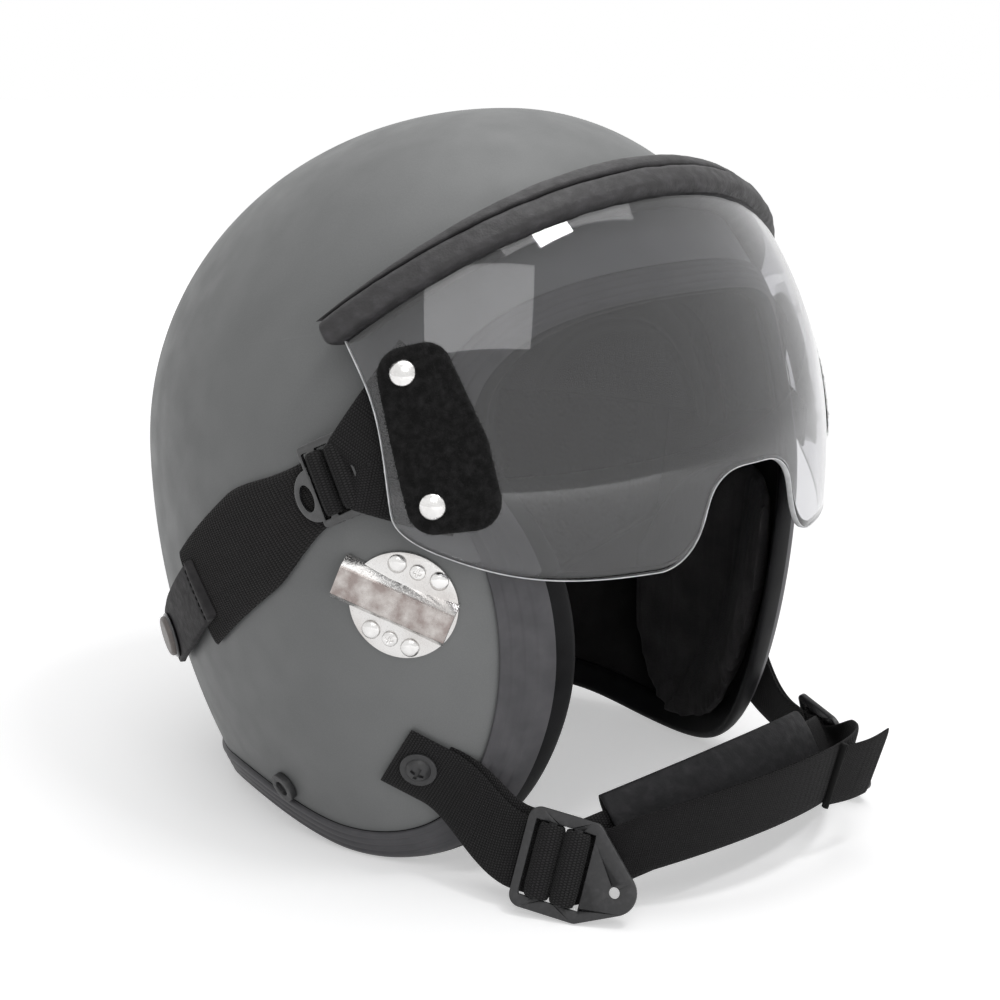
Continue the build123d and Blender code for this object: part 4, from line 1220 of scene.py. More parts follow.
class Finishes:
    """Every material of the helmet, made once."""

    def __init__(self) -> None:
        """Builds the materials."""
        self.shell = Coating().material()
        self.rubber = Rubber().material()
        # A near-black copy of the trim rubber for the trim's inner faces and its foot line against the shell: painted
        # shade.
        self.inner_rubber = Rubber("trim_inner", (0.004, 0.004, 0.0045), (0.010, 0.010, 0.011), 0.1).material()
        self.foam = Foam().material()
        self.lining = Lining().material()
        self.pad = Lining("pad_black", (0.020, 0.019, 0.020), (0.066, 0.062, 0.064)).material()
        # Each skin's second colour lightens its wrinkle crests: partly wear, partly a painted highlight.
        self.roll = Skin("roll_black", (0.024, 0.023, 0.024), (0.046, 0.044, 0.047)).material()
        self.sleeve = Skin("sleeve_black", (0.010, 0.010, 0.011), (0.020, 0.019, 0.021), 0.6, 0.1, 0.2).material()
        self.leather = Skin("tab_leather", (0.018, 0.017, 0.018), (0.032, 0.030, 0.031), 0.62, 0.08, 0.25).material()
        self.felt = Felt().material()
        # Each webbing's second colour darkens the hollows between its strands: painted shade.
        self.webbing = Webbing("webbing_black", (0.036, 0.035, 0.036), (0.004, 0.004, 0.004), 1.05, 0.9).material()
        self.tape = Webbing("tape_black", (0.016, 0.015, 0.016), (0.005, 0.005, 0.005), 0.7, 0.7).material()
        self.elastic = Webbing("elastic_grey", (0.044, 0.042, 0.042), (0.004, 0.004, 0.004), 1.7, 0.8).material()
        self.glass = Glass().material()
        self.glass_edge = Glass().edge()
        self.plate = Metal("plate_steel", (0.70, 0.69, 0.68), (0.56, 0.53, 0.51), 0.2).material(RAISED)
        self.chrome = Metal("rivet_chrome", (0.82, 0.81, 0.80), (0.66, 0.65, 0.64), 0.14, 0.12, 0.01, 5.0).material()
        self.black = Enamel("black_steel", (0.012, 0.012, 0.013), (0.035, 0.035, 0.038)).material()
        self.satin = Enamel("black_satin", (0.020, 0.020, 0.021), (0.040, 0.039, 0.041), 0.42, 0.1).material()
        self.snap = Enamel("snap_brown", (0.115, 0.098, 0.090), (0.16, 0.14, 0.13), 0.4, 0.2).material()
        self.thread = Webbing("thread_black", (0.03, 0.03, 0.03), (0.01, 0.01, 0.01), 0.4, 0.3).material()


def dressed(
    piece: bpy.types.Object,
    material: bpy.types.Material,
    slot: str,
    body: str,
    nodes: Sequence[str] = (),
    extra: Sequence[bpy.types.Material] = (),
) -> bpy.types.Object:
    """A piece with its material, body and the frame's nodes that it stands for.

    Args:
        piece: The finished mesh object.
        material: Its main material.
        slot: The record's material slot. Not used.
        body: The body that it rides on, or an empty word to leave it unattached.
        nodes: The frame's nodes that it replaces.
        extra: More materials, in the order of the faces' numbers.

    Returns:
        The piece.
    """
    numbers = np.zeros(len(piece.data.polygons), np.int32)
    piece.data.polygons.foreach_get("material_index", numbers)
    piece.data.materials.clear()
    for one in (material, *extra):
        piece.data.materials.append(one)
    piece.data.polygons.foreach_set("material_index", numbers if extra else numbers * 0)
    if nodes:
        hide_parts(*nodes)
    if body:
        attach(piece, body)
    log.info("%s: %d faces", piece.name, len(piece.data.polygons))
    return piece


@dataclass
class Workshop:
    """What every sub-assembly works with: the frame, the trees and the finishes."""

    frame: dict
    trees: Trees
    finishes: Finishes

    def keep_node(self, name: str, material: bpy.types.Material, edge: float = 0.25) -> None:
        """A frame node kept as it is, with softened edges and a better material."""
        node = self.frame["nodes"][name]
        node.data.materials.clear()
        node.data.materials.append(material)
        weld = node.modifiers.new("weld", "WELD")
        weld.merge_threshold = 0.00002
        if edge:
            bevel = node.modifiers.new("bevel", "BEVEL")
            bevel.width = edge * MM
            bevel.segments = 2
            bevel.limit_method = "ANGLE"
            bevel.angle_limit = math.radians(35)
            bevel.harden_normals = True
        for polygon in node.data.polygons:
            polygon.use_smooth = True


# Stuffing


def stuffed(
    piece: bpy.types.Object, voxel: float, swell: float, keep_in: Callable[[Array], Array]
) -> bpy.types.Object:
    """A pad blown up from its pattern by a short cloth simulation.

    Args:
        piece: The pattern's closed mesh.
        voxel: The size of the cloth's squares.
        swell: The furthest that a point may move.
        keep_in: Takes points in millimetres back inside the room the pad has.

    Returns:
        The same object with the padded mesh.
    """
    remesh = piece.modifiers.new("remesh", "REMESH")
    remesh.mode = "VOXEL"
    remesh.voxel_size = voxel * MM
    remesh.use_smooth_shade = True
    piece = plain_mesh(piece, piece.name)
    rest = np.array([v.co for v in piece.data.vertices])
    copy = bpy.data.objects.new(piece.name + "_cloth", piece.data.copy())
    bpy.context.scene.collection.objects.link(copy)
    cloth = copy.modifiers.new("cloth", "CLOTH")
    cloth.settings.use_pressure = True
    cloth.settings.uniform_pressure_force = 4.0
    cloth.settings.effector_weights.gravity = 0.0
    cloth.point_cache.frame_start, cloth.point_cache.frame_end = 1, 20
    for frame in range(1, 21):
        bpy.context.scene.frame_set(frame)
    blown = plain_mesh(copy, piece.name + "_blown")
    moved = np.array([v.co for v in blown.data.vertices]) - rest
    bpy.data.objects.remove(blown)
    bpy.context.scene.frame_set(1)
    far = np.linalg.norm(moved, axis=1, keepdims=True)
    moved *= np.minimum(1, swell * MM / np.maximum(far, 1e-9))
    piece.data.vertices.foreach_set("co", (rest + moved).astype(np.float32).ravel())
    smooth = piece.modifiers.new("finer", "SUBSURF")
    smooth.levels = smooth.render_levels = 2
    piece = plain_mesh(piece, piece.name)
    points = np.array([v.co for v in piece.data.vertices]) / MM
    piece.data.vertices.foreach_set("co", (keep_in(points) * MM).astype(np.float32).ravel())
    piece.data.update()
    tidy_mesh(piece.data)
    return piece


# Shell and trim


@dataclass
class Shell:
    """The outer shell and the rubber trim round its cut edge."""

    wall: float = 4.0
    web: float = 2.6
    band: float = 11.5
    proud: float = 1.8
    edge_steps: int = 150
    crown_steps: int = 130
    rings: int = 44
    ridges: tuple = (3.4, 6.0, 8.7)
    ridge_width: float = 0.55
    ridge_depth: float = 0.32

    def fan(self, inset: float, grow: float) -> Array:
        """Side-view places over the right half, the cut edge's outline points first."""
        edge = FORM.edge(inset, grow, self.edge_steps)
        sky = FORM.skyline(edge[-1], edge[0] , grow, self.crown_steps)
        return FORM.fan(np.vstack([edge, sky[1:-1]]), self.rings, grow)

    def directions(self, grow: float) -> Array:
        """Directions of unit length from the centre to the right half's places."""
        places = self.fan(self.web, grow)
        depth, height = FORM.depths(places, grow)
        sizes = np.stack([np.full(depth.shape, FORM.half_width + grow), depth, height], axis=-1)
        return (FORM.right(places, grow) - FORM.centre) / sizes

    def build_shell(self, shop: Workshop) -> bpy.types.Object:
        """The shell, shaped by the form tree."""
        outer, inner = self.directions(0.0), self.directions(-self.wall)
        rows, cols = outer.shape[:2]
        count = rows * cols
        edge = np.arange(self.edge_steps) + (rows - 1) * cols
        half = np.concatenate(
            [quads(rows, cols, True), quads(rows, cols, True, count), between(edge, edge + count, False)]
        )
        points = np.concatenate([outer.reshape(-1, 3), inner.reshape(-1, 3)])
        points = np.concatenate([points, points * np.array([-1, 1, 1])])
        mesh = bpy.data.meshes.new("outer_shell_skin")
        mesh.from_pydata(points.tolist(), [], np.concatenate([half, half + 2 * count]).tolist())
        grow = np.tile(np.repeat([0.0, -self.wall], count), 2).astype(np.float32)
        mesh.attributes.new("grow", "FLOAT", "POINT").data.foreach_set("value", grow)
        base = bpy.data.objects.new("outer_shell_skin", mesh)
        bpy.context.scene.collection.objects.link(base)
        sizes = {
            "Half width": FORM.half_width,
            "Front": FORM.front,
            "Back": FORM.back,
            "Top": FORM.top,
            "Low": FORM.low,
            "Centre": FORM.centre.tolist(),
            "Material": shop.finishes.shell,
        }
        piece = shop.trees.form.applied(base, sizes)
        tidy_mesh(piece.data)
        mark_inside(piece, -1.5)
        inner = [shop.finishes.lining]
        return dressed(piece, shop.finishes.shell, "shell_grey", "helmet", ["outer_shell"], inner)

    def profile(self) -> list[tuple[float, float]]:
        """The trim's section: how far inside the cut edge and how far above the shell."""
        foot = self.band + 0.3
        out: list[tuple[float, float]] = [(foot, 0.06), (self.band, 0.25), (self.band - 0.1, 0.8)]
        out.append((self.band - 0.5, 1.35))
        for inset in np.linspace(self.band - 1.1, 2.4, 40):
            dip = sum(
                self.ridge_depth * math.exp(-(((inset - r) / self.ridge_width) ** 2)) for r in self.ridges
            )
            out.append((float(inset), self.proud - dip))
        inner = -self.wall - self.proud
        out += [(1.6, 1.55), (0.95, 1.05), (0.5, 0.4), (0.2, -0.4), (0.05, -1.2), (0.0, -2.0)]
        out += [(0.05, -2.9), (0.25, -3.7), (0.7, -4.5), (1.4, -5.2), (2.2, inner + 0.1)]
        out += [(float(i), inner) for i in np.linspace(3, self.band - 0.8, 6)]
        out += [(self.band - 0.3, inner + 0.4), (self.band, inner + 0.9), (self.band, -self.wall - 0.1)]
        return out + [(self.web + 0.3, -self.wall - 0.05), (self.web, -2.0), (self.web + 0.3, 0.04)]

    def build_trim(self, shop: Workshop) -> bpy.types.Object:
        """The trim, swept along the whole cut edge with its lengthwise ridges; its inner faces and its foot take a
        near-black copy of the rubber as painted shade.
        """
        lines = []
        for inset, grow in self.profile():
            right = FORM.right(FORM.edge(inset, grow, 260), grow)
            left = (right * np.array([-1, 1, 1]))[-2:0:-1]
            lines.append(np.concatenate([right, left]))
        piece = loop_piece("edge_trim_ridged", np.stack(lines, axis=1))
        # Faces inside the form grown by 0.2 mm take the near-black copy as painted shade: the inner flank and the thin
        # foot line.
        mark_inside(piece, 0.2)
        inner = [shop.finishes.inner_rubber]
        return dressed(piece, shop.finishes.rubber, "trim_rubber", "helmet", ["edge_trim"], inner)

    def build(self, shop: Workshop) -> None:
        """Builds the shell and its trim."""
        self.build_shell(shop)
        self.build_trim(shop)


# Lining


@dataclass
class Linings:
    """The foam liner, the crown pad, the cheek pads and the neck roll."""

    wall: float = 4.0
    core: float = 22.0
    crown: float = 7.0
    set_back: float = 14.0
    low_shares: tuple = ((-1.1, 0.09), (0.06, 0.09), (0.09, -0.35), (0.30, -0.52))
    cheek_shares: tuple = (
        (-0.86, -0.30),
        (-0.80, -0.60),
        (-0.52, -0.93),
        (-0.05, -0.90),
        (-0.06, -0.20),
        (-0.78, -0.15),
    )
    cheek_inner: float = 88.0
    cheek_crest: float = 7.0
    rib_pitch: float = 3.4
    rib_depth: float = 0.45
    roll_floor: float = 6.0
    roll_height: float = 42.0
    roll_depth: float = 17.0
    steps: int = 120

    def half_outline(self, inset: float, grow: float, low: Array) -> Array:
        """The right half's outline: the cut edge above a low line, then the skyline and the low line."""
        edge = FORM.edge(inset, grow, 700)
        front = edge[(edge[:, 0] < -10) & (edge[:, 1] > low[0, 1])]
        behind = FORM.back + grow
        end = np.array([behind * math.sqrt(1 - (low[-1, 1] / (FORM.low + grow)) ** 2), low[-1, 1]])
        if low[-1, 1] > 0:
            end[0] = behind * math.sqrt(1 - (low[-1, 1] / (FORM.top + grow)) ** 2)
        bottom = np.vstack([end, low[::-1], front[:1]])
        cut = FORM.spaced(np.vstack([even(bottom, 400)[:-1], front]), grow, self.steps)
        sky = FORM.skyline(cut[-1], cut[0], grow, 90)
        return np.vstack([cut, sky[1:-1]])

    def build_liner(self, shop: Workshop) -> None:
        """The foam liner and the crown pad inside it."""
        roll_top = self.roll_floor + self.roll_height + 0.3 - FORM.rim_drop
        low = np.array([FORM.place(s) for s in self.low_shares] + [np.array([60.0, roll_top])])
        low[0, 0] = -40.0
        grids = []
        for grow in (-self.wall - 0.3, -self.wall - self.core):
            outline = self.half_outline(self.set_back, grow, low)
            grids.append(FORM.right(FORM.fan(outline, 26, grow), grow))
        piece = two_halves("impact_liner_foam", grids[0], grids[1], self.steps)
        dressed(piece, shop.finishes.foam, "liner_foam", "helmet", ["impact_liner"])
        pad_low = np.array([[-30.0, 8.5], [60.0, 8.5]])
        tops = []
        for grow in (-self.wall - self.core - 0.3, -self.wall - self.core - self.crown):
            outline = self.half_outline(self.set_back + self.crown, grow, pad_low)
            places = FORM.fan(outline, 40, grow)
            points = FORM.right(places, grow)
            if tops:
                points = points + away_from_middle(points) * self.quilt(points)[..., None]
            tops.append(points)
        piece = two_halves("crown_liner_quilted", tops[0], tops[1], self.steps)
        dressed(piece, shop.finishes.lining, "cloth_black", "helmet", ["crown_liner"])

    def quilt(self, points: Array) -> Array:
        """How deep the crown pad's sewn channels lie, along lines from front to back."""
        channel = np.abs(np.sin(points[..., 0] * math.pi / 26.0))
        return 1.6 * np.exp(-((channel / 0.12) ** 2))

    def cheek_grid(self, inward: float) -> tuple[Array, Array]:
        """The inner and outer points of a cheek pad's pattern, shrunk by an amount."""
        outline = curve_through([FORM.place(s) for s in self.cheek_shares], 120, closed=True)[:-1]
        middle = outline.mean(axis=0)
        outline = middle + (outline - middle) * (1 - inward / 45)
        edge = FORM.edge(9.0, -8.0, 600)
        for k, spot in enumerate(outline):
            near = edge[np.argmin(np.linalg.norm(edge - spot, axis=1))]
            if (spot - near) @ (near - middle) > 0:
                outline[k] = near
        grow = -self.wall - 3.0 - inward
        reach = np.linspace(0, 1, 15)[:, None, None]
        places = middle + (outline - middle)[None] * reach
        outer = FORM.right(places, grow)
        back, front = FORM.place(self.cheek_shares[3])[0], FORM.place(self.cheek_shares[0])[0]
        half = (back - front) / 2
        share = np.clip((places[..., 0] - (back + front) / 2) / half, -1, 1)
        inner_x = -self.cheek_inner + self.cheek_crest * (1 - share**2) - inward
        inner = outer.copy()
        inner[..., 0] = np.maximum(inner_x, outer[..., 0] + 7.0)
        return inner, outer

    def build_cheek(self, shop: Workshop, side: Side) -> None:
        """One cheek pad, blown up and ribbed."""
        inner, outer = self.cheek_grid(2.0)
        pattern = sheet_piece(f"cheek_pad_{side.word}_cushion", inner, outer, side, wrap=True)

        def keep_in(points: Array) -> Array:
            """Keeps the pad inside the shell and ribs its inner face."""
            flip = np.array([side.value, 1, 1])
            points = points * flip
            limit = -self.wall - 2.1
            run = points - FORM.centre
            depth, height = FORM.depths(run[:, 1:], limit)
            sizes = np.stack([np.full(len(run), FORM.half_width + limit), depth, height], axis=1)
            length = np.linalg.norm(run / sizes, axis=1, keepdims=True)
            points = FORM.centre + run / np.maximum(length, 1.0)
            inward = ease((points[:, 0] + 104) / 10)
            ribs = np.abs(np.sin(points[:, 1] * math.pi / self.rib_pitch))
            points[:, 0] -= inward * self.rib_depth * (1 - np.sqrt(ribs))
            return points * flip

        piece = stuffed(pattern, 3.6, 3.0, keep_in)
        dressed(piece, shop.finishes.pad, "cloth_black", "helmet", [f"cheek_pad_{side.word}"])

    def build_roll(self, shop: Workshop) -> None:
        """The neck roll inside the nape."""
        low = self.roll_floor - FORM.rim_drop
        front = FORM.place(self.low_shares[-1])[0]
        turn = np.linspace(0, 2 * math.pi, 28, endpoint=False)
        rise = low + self.roll_height / 2 + (self.roll_height / 2 - 1) * np.sin(turn)
        middle = -self.wall - 3.5 - self.roll_depth / 2
        grow = middle + (self.roll_depth / 2 - 1.0) * np.sign(np.cos(turn)) * np.abs(np.cos(turn)) ** 0.6
        lines = []
        for up, g in zip(rise, grow):
            reach = (FORM.back + g) * math.sqrt(1 - (up / (FORM.low + g)) ** 2)
            path = np.array([[front + 2, up], [reach, up]])
            right = FORM.right(FORM.spaced(path, g, 60), g)
            lines.append(np.concatenate([right, (right * np.array([-1, 1, 1]))[-2::-1]]))
        pattern = tube_piece("neck_roll_cushion", np.stack(lines, axis=1))

        def keep_in(points: Array) -> Array:
            """Keeps the roll inside the trim and above the floor."""
            limit = -self.wall - 2.1
            run = points - FORM.centre
            depth, height = FORM.depths(run[:, 1:], limit)
            sizes = np.stack([np.full(len(run), FORM.half_width + limit), depth, height], axis=1)
            length = np.linalg.norm(run / sizes, axis=1, keepdims=True)
            return FORM.centre + run / np.maximum(length, 1.0)

        piece = stuffed(pattern, 4.5, 2.5, keep_in)
        dressed(piece, shop.finishes.lining, "cloth_black", "helmet", ["neck_roll"])

    def build(self, shop: Workshop) -> None:
        """Builds the whole lining."""
        self.build_liner(shop)
        for side in Side:
            self.build_cheek(shop, side)
        self.build_roll(shop)


# Visor


@dataclass
class Visor:
    """The lens, its edge roll and lip, and the felt patches riveted to its sides."""

    stand_off: float = 10.0
    lens_wall: float = 2.0
    lens_drop: float = 18.5
    nose_half: float = 25.0
    nose_rise: float = 13.0
    nose_flare: float = 1.75
    nose_side: tuple = ((1.0, 0.0), (0.74, 0.143), (0.585, 0.476), (0.49, 0.794), (0.33, 0.956))
    hem_shares: tuple = ((-0.69, 0.50), (-0.90, 0.94), (-1.02, 1.0))
    grip: float = 7.0
    band: float = 10.5
    crest: float = 9.0
    tail: float = 2.0
    proud: float = 4.5
    groove: float = 1.6
    columns: int = 420
    rows: int = 60
    roll_shares: tuple = ((-0.327, 0.446), (-0.76, 0.777))
    side_shares: tuple = ((-0.32, 0.46), (-0.45, 0.315), (-0.54, 0.04))
    upper_share: tuple = (-0.464, 0.351)
    lower_share: tuple = (-0.575, 0.061)
    patch_thick: float = 1.5
    patch_round: float = 8.6
    patch_belly: float = 9.8
    patch_out: float = 12.0
    rivet_radius: float = 4.4
    rivet_rise: float = 2.0

    def __post_init__(self) -> None:
        """Works out the roll's line in the side view."""
        self.foot, far = (FORM.place(s) for s in self.roll_shares)
        self.run = unit(far - self.foot)
        self.rise = np.array([-self.run[1], self.run[0]]) * (1 if self.run[0] > 0 else -1)
        self.length = float(np.linalg.norm(far - self.foot))
        self.out = self.stand_off + self.lens_wall

    def lens_outline(self) -> Array:
        """The lens's side view."""
        high, middle, low = (FORM.place(s) for s in self.side_shares)
        edge = curve_through([high, middle, low], 60)
        down = unit(edge[-1] - edge[-2])
        hem = [(back * FORM.front, -drop * self.lens_drop) for back, drop in self.hem_shares]
        turn = curve_through([low, *hem], 60, ends=(down, (-1, 0)))
        top = self.foot + self.rise * self.grip
        far = np.array([-FORM.back, -self.lens_drop])
        return np.vstack([edge, turn[1:], far, top + self.run * FORM.back * 2, top])

    def nose_outline(self) -> Array:
        """The nose notch's front view: sideways and up."""
        flare = self.nose_half * self.nose_flare
        height = self.nose_rise + self.lens_drop
        half = [(flare * out, height * up - self.lens_drop) for out, up in self.nose_side]
        points = [(-x, up) for x, up in half] + [(0.0, self.nose_rise)] + half[::-1]
        lip = curve_through(points, 400, ends=((1, 0), (1, 0)))
        return np.vstack([lip, (flare, -FORM.low), (-flare, -FORM.low)])

    def lens_grid(self, grow: float) -> Array:
        """Directions over the lens, by row from the lower edge and by column from side to side."""
        side_view, nose = self.lens_outline(), self.nose_outline()
        half = FORM.half_width + grow

        def spots(turn: Array, lift: Array) -> Array:
            """Points on the form at turns round the helmet and lifts above its middle."""
            heights = np.where(lift > 0, FORM.top, FORM.low) + grow
            x = half * np.cos(lift) * np.sin(turn)
            y = -(FORM.front + grow) * np.cos(lift) * np.cos(turn)
            return np.stack([x, y, heights * np.sin(lift)], axis=-1)

        def kept(turn: Array, lift: Array) -> Array:
            """Whether the points belong to the lens."""
            p = spots(turn, lift)
            return inside(side_view, p[..., 1:]) & ~inside(nose, p[..., ::2])

        lifts = np.radians(np.linspace(-20, 75, 900))
        widest = math.radians(80)
        for _ in range(3):
            turns = (2 * self.spread() - 1) * widest
            found = kept(turns[None], lifts[:, None] + np.zeros((1, self.columns)))
            widest = np.abs(turns[found.any(axis=0)]).max()
        found[:, 0], found[:, -1] = found[:, 1], found[:, -2]
        low = lifts[found.argmax(axis=0)]
        high = lifts[len(lifts) - 1 - found[::-1].argmax(axis=0)]
        step = lifts[1] - lifts[0]
        bounds = []
        for edge, sign in ((low, -1), (high, 1)):
            near, far = edge.copy(), edge + sign * step
            for _ in range(24):
                middle = (near + far) / 2
                good = kept(turns, middle)
                near, far = np.where(good, middle, near), np.where(good, far, middle)
            bounds.append(near)
        share = np.linspace(0, 1, self.rows)[:, None]
        lift = bounds[0] * (1 - share) + bounds[1] * share
        return spots(np.broadcast_to(turns, lift.shape), lift) / np.array(
            [half, FORM.front + grow, 1.0]
        ) / np.stack([np.ones(lift.shape), np.ones(lift.shape), np.where(lift > 0, FORM.top, FORM.low) + grow], -1)

    def spread(self) -> Array:
        """The columns from 0 to 1, closer together at both ends."""
        even_run = np.linspace(0, 1, self.columns)
        return (even_run + crowded(self.columns)) / 2

    def grown(self, directions: Array, grow: float) -> Array:
        """Points of the grown form in unit directions."""
        _, height = FORM.depths(directions[..., 1:], grow)
        sizes = np.stack(
            [np.full(height.shape, FORM.half_width + grow), np.full(height.shape, FORM.front + grow), height], -1
        )
        return FORM.centre + directions * sizes

    def build_lens(self, shop: Workshop) -> None:
        """The lens, a sheet whose edge faces take a pale painted highlight."""
        grid = self.lens_grid(self.out)
        piece = sheet_piece(
            "visor_lens_sheet", self.grown(grid, self.out), self.grown(grid, self.stand_off), rim_material=True
        )
        edge = [shop.finishes.glass_edge]
        dressed(piece, shop.finishes.glass, "lens_smoke", "visor", ["visor_lens"], edge)
        self.build_edge(shop, grid)

    def build_edge(self, shop: Workshop, grid: Array) -> None:
        """The lens's rubbed edge as a fine rounded bead with a pale painted highlight, from the roll's one end to the
        other.
        """
        left, low, right = grid[::-1, 0], grid[0], grid[:, -1]
        path = np.concatenate([left[:-1], low, right[1:]])
        outer, inner = (self.grown(path, g) for g in (self.out, self.stand_off))
        outer, inner = even(np.hstack([outer, inner]), 1500).reshape(-1, 2, 3).transpose(1, 0, 2)
        run = unit(np.gradient(outer, axis=0))
        out = unit(outer - inner)
        into = np.cross(out, run)
        into = unit(into - out * (into * out).sum(axis=1, keepdims=True))
        turn = np.linspace(0, 2 * math.pi, 14, endpoint=False)
        middle = (outer + inner) / 2 + into * 0.24
        deep = self.lens_wall / 2 + 0.06
        rings = (
            middle[:, None]
            + into[:, None] * (0.34 * np.cos(turn))[None, :, None]
            + out[:, None] * (deep * np.sign(np.sin(turn)) * np.abs(np.sin(turn)) ** 0.6)[None, :, None]
        )
        piece = tube_piece("visor_lens_edge", rings)
        dressed(piece, shop.finishes.glass_edge, "lens_smoke", "visor")

    def roll_line(self, rise: float, grow: float, count: int) -> Array:
        """Points along the roll from its right end to its left, at a rise and a height."""
        start = self.foot - self.run * self.tail + self.rise * rise
        depth, height = FORM.front + grow, FORM.top + grow
        run, spot = self.run / (depth, height), start / (depth, height)
        a, b, c = run @ run, 2 * run @ spot, spot @ spot - 1
        reach = (-b + math.sqrt(b * b - 4 * a * c)) / (2 * a)
        path = np.stack([start, start + self.run * reach])
        right = FORM.right(FORM.spaced(path, grow, count), grow)
        return np.concatenate([right, (right * np.array([-1, 1, 1]))[-2::-1]])

    def build_band(self, shop: Workshop) -> None:
        """The padded band over the lens's top edge."""
        turn = np.linspace(0, 2 * math.pi, 36, endpoint=False)
        soft = 2 / 3.6
        half_rise, half_deep = self.band / 2 - 0.05, (self.out + self.proud - 0.6) / 2
        rises = self.band / 2 + half_rise * np.sign(np.cos(turn)) * np.abs(np.cos(turn)) ** soft
        grows = 0.6 + half_deep + half_deep * np.sign(np.sin(turn)) * np.abs(np.sin(turn)) ** soft
        rings = np.stack([self.roll_line(r, g, 110) for r, g in zip(rises, grows)], axis=1)
        middle = rings.mean(axis=1, keepdims=True)
        stations = np.arange(len(rings))
        end = np.minimum(stations, len(rings) - 1 - stations)
        rings = middle + (rings - middle) * np.where(end < 1, 0.86, 1.0)[:, None, None]
        away = unit(rings - middle)
        dents = rough(rings, 9.0, 3.1) * 0.35 + rough(rings, 3.0, 7.7) * 0.12
        piece = tube_piece("visor_roll_band", rings + away * dents[..., None])
        dressed(piece, shop.finishes.roll, "roll_black", "visor", ["visor_roll"])

    def build_lip(self, shop: Workshop) -> None:
        """The crescent lip behind the band, turned down to the shell."""
        turn = np.linspace(0, math.pi / 2, 14)
        outer = self.out + self.proud - self.groove
        count = 110
        lines = []
        for share_up, share_out in zip(np.sin(turn) ** 0.75, np.cos(turn) ** 0.75):
            grow = 0.7 + (outer - 0.7) * share_out
            low = self.roll_line(self.band + 0.25, grow, count)
            high = self.roll_line(self.band + 0.25 + self.crest, grow, count)
            across = high - low
            width = self.widening(count)[:, None]
            lines.append(low + across * width * share_up)
        base = [self.roll_line(self.band + 0.25, g, count) for g in (0.7, outer * 0.5)]
        rings = np.stack(lines + base, axis=1)
        dents = rough(rings, 7.0, 5.3) * 0.3 + rough(rings, 2.6, 1.7) * 0.12
        away = away_from_middle(rings)
        wide = self.widening(count)[:, None]
        piece = tube_piece("visor_roll_lip", rings + away * (dents * np.minimum(1, wide * 3))[..., None])
        dressed(piece, shop.finishes.roll, "roll_black", "visor", ["visor_lip"])

    def widening(self, count: int) -> Array:
        """The lip's width as a share of its crest, from one end to the other."""
        half = np.linspace(0, 1, count)
        share = 0.06 + 0.94 * np.sin(half * math.pi / 2) ** 0.9
        return np.concatenate([share, share[-2::-1]])

    def seats(self) -> tuple[Seat, Seat]:
        """The seats of the upper and lower rivet on the patch."""
        upper, lower = FORM.place(self.upper_share), FORM.place(self.lower_share)
        rise = self.out + 0.1 + self.patch_thick
        return FORM.seat(upper, lower, rise), FORM.seat(lower, upper, rise)

    def patch_outline(self, seat: Seat) -> Array:
        """The patch's outline on its own seat."""
        upper, lower = (FORM.place(s) for s in (self.upper_share, self.lower_share))
        gap = float(np.linalg.norm(FORM.standing(lower, self.out) - FORM.standing(upper, self.out)))
        rounds = [
            circle(self.patch_round),
            circle(self.patch_round, (0, self.patch_out * 0.6)),
            circle(self.patch_round, (gap, 0)),
            circle(self.patch_belly, (gap * 0.62, self.patch_out)),
            circle(self.patch_belly, (gap, self.patch_out)),
        ]
        return even(ring_closed(convex_outline(np.concatenate(rounds))), 161)[:-1]

    def build_patch(self, shop: Workshop, side: Side) -> None:
        """One felt patch with its fuzz and its two rivets."""
        upper, lower = FORM.place(self.upper_share), FORM.place(self.lower_share)
        seat = FORM.seat(upper, lower, self.out)
        outline = self.patch_outline(seat)
        middle = outline.mean(axis=0)
        share = np.linspace(0, 1, 34)[:, None, None]
        flat = middle + (outline - middle)[None] * share
        inset = np.linalg.norm(outline - middle, axis=1) * (1 - share[..., 0])
        round_off = np.sqrt(1 - (1 - np.clip(inset / 1.1, 0, 1)) ** 2)
        spots = seat.at(flat[..., 0], flat[..., 1])
        lumps = rough(spots, 3.5, 2.2) * 0.12 + rough(spots, 1.2, 4.4) * 0.08
        top = FORM.sink(spots, seat.out, self.out + 0.5 + (self.patch_thick - 0.4) * round_off + lumps)
        bottom = FORM.sink(spots, seat.out, self.out + 0.1)
        piece = sheet_piece(f"side_patch_{side.word}_felt", top, bottom, side, wrap=True)
        height = FORM.level(
            np.array([v.co for v in piece.data.vertices]) / MM * np.array([side.value, 1, 1]), self.out + 0.35
        )
        layer = piece.data.attributes.new("outer", "FLOAT", "POINT")
        layer.data.foreach_set("value", (height > 0).astype(np.float32))
        fibre = self.fibre()
        values = {"Fibre": fibre, "Density": 3.2e6, "Seed": 11, "Material": shop.finishes.felt}
        piece = shop.trees.fibres.applied(piece, values)
        bpy.data.objects.remove(fibre)
        dressed(piece, shop.finishes.felt, "patch_black", "visor", [f"side_patch_{side.word}"])
        self.build_rivets(shop, side)

    def fibre(self) -> bpy.types.Object:
        """One short bent fibre that stands on the origin."""
        heights = (0.0, 0.35, 0.7, 0.95)
        leans = (0.0, 0.05, 0.2, 0.45)
        points = [(lean + w, 0.0, h) for h, lean in zip(heights, leans) for w in (-0.035, 0.035)]
        mesh = bpy.data.meshes.new("fibre")
        mesh.from_pydata([tuple(c * MM for c in p) for p in points], [], quads(4, 2).tolist())
        made = bpy.data.objects.new("fibre", mesh)
        bpy.context.scene.collection.objects.link(made)
        return made

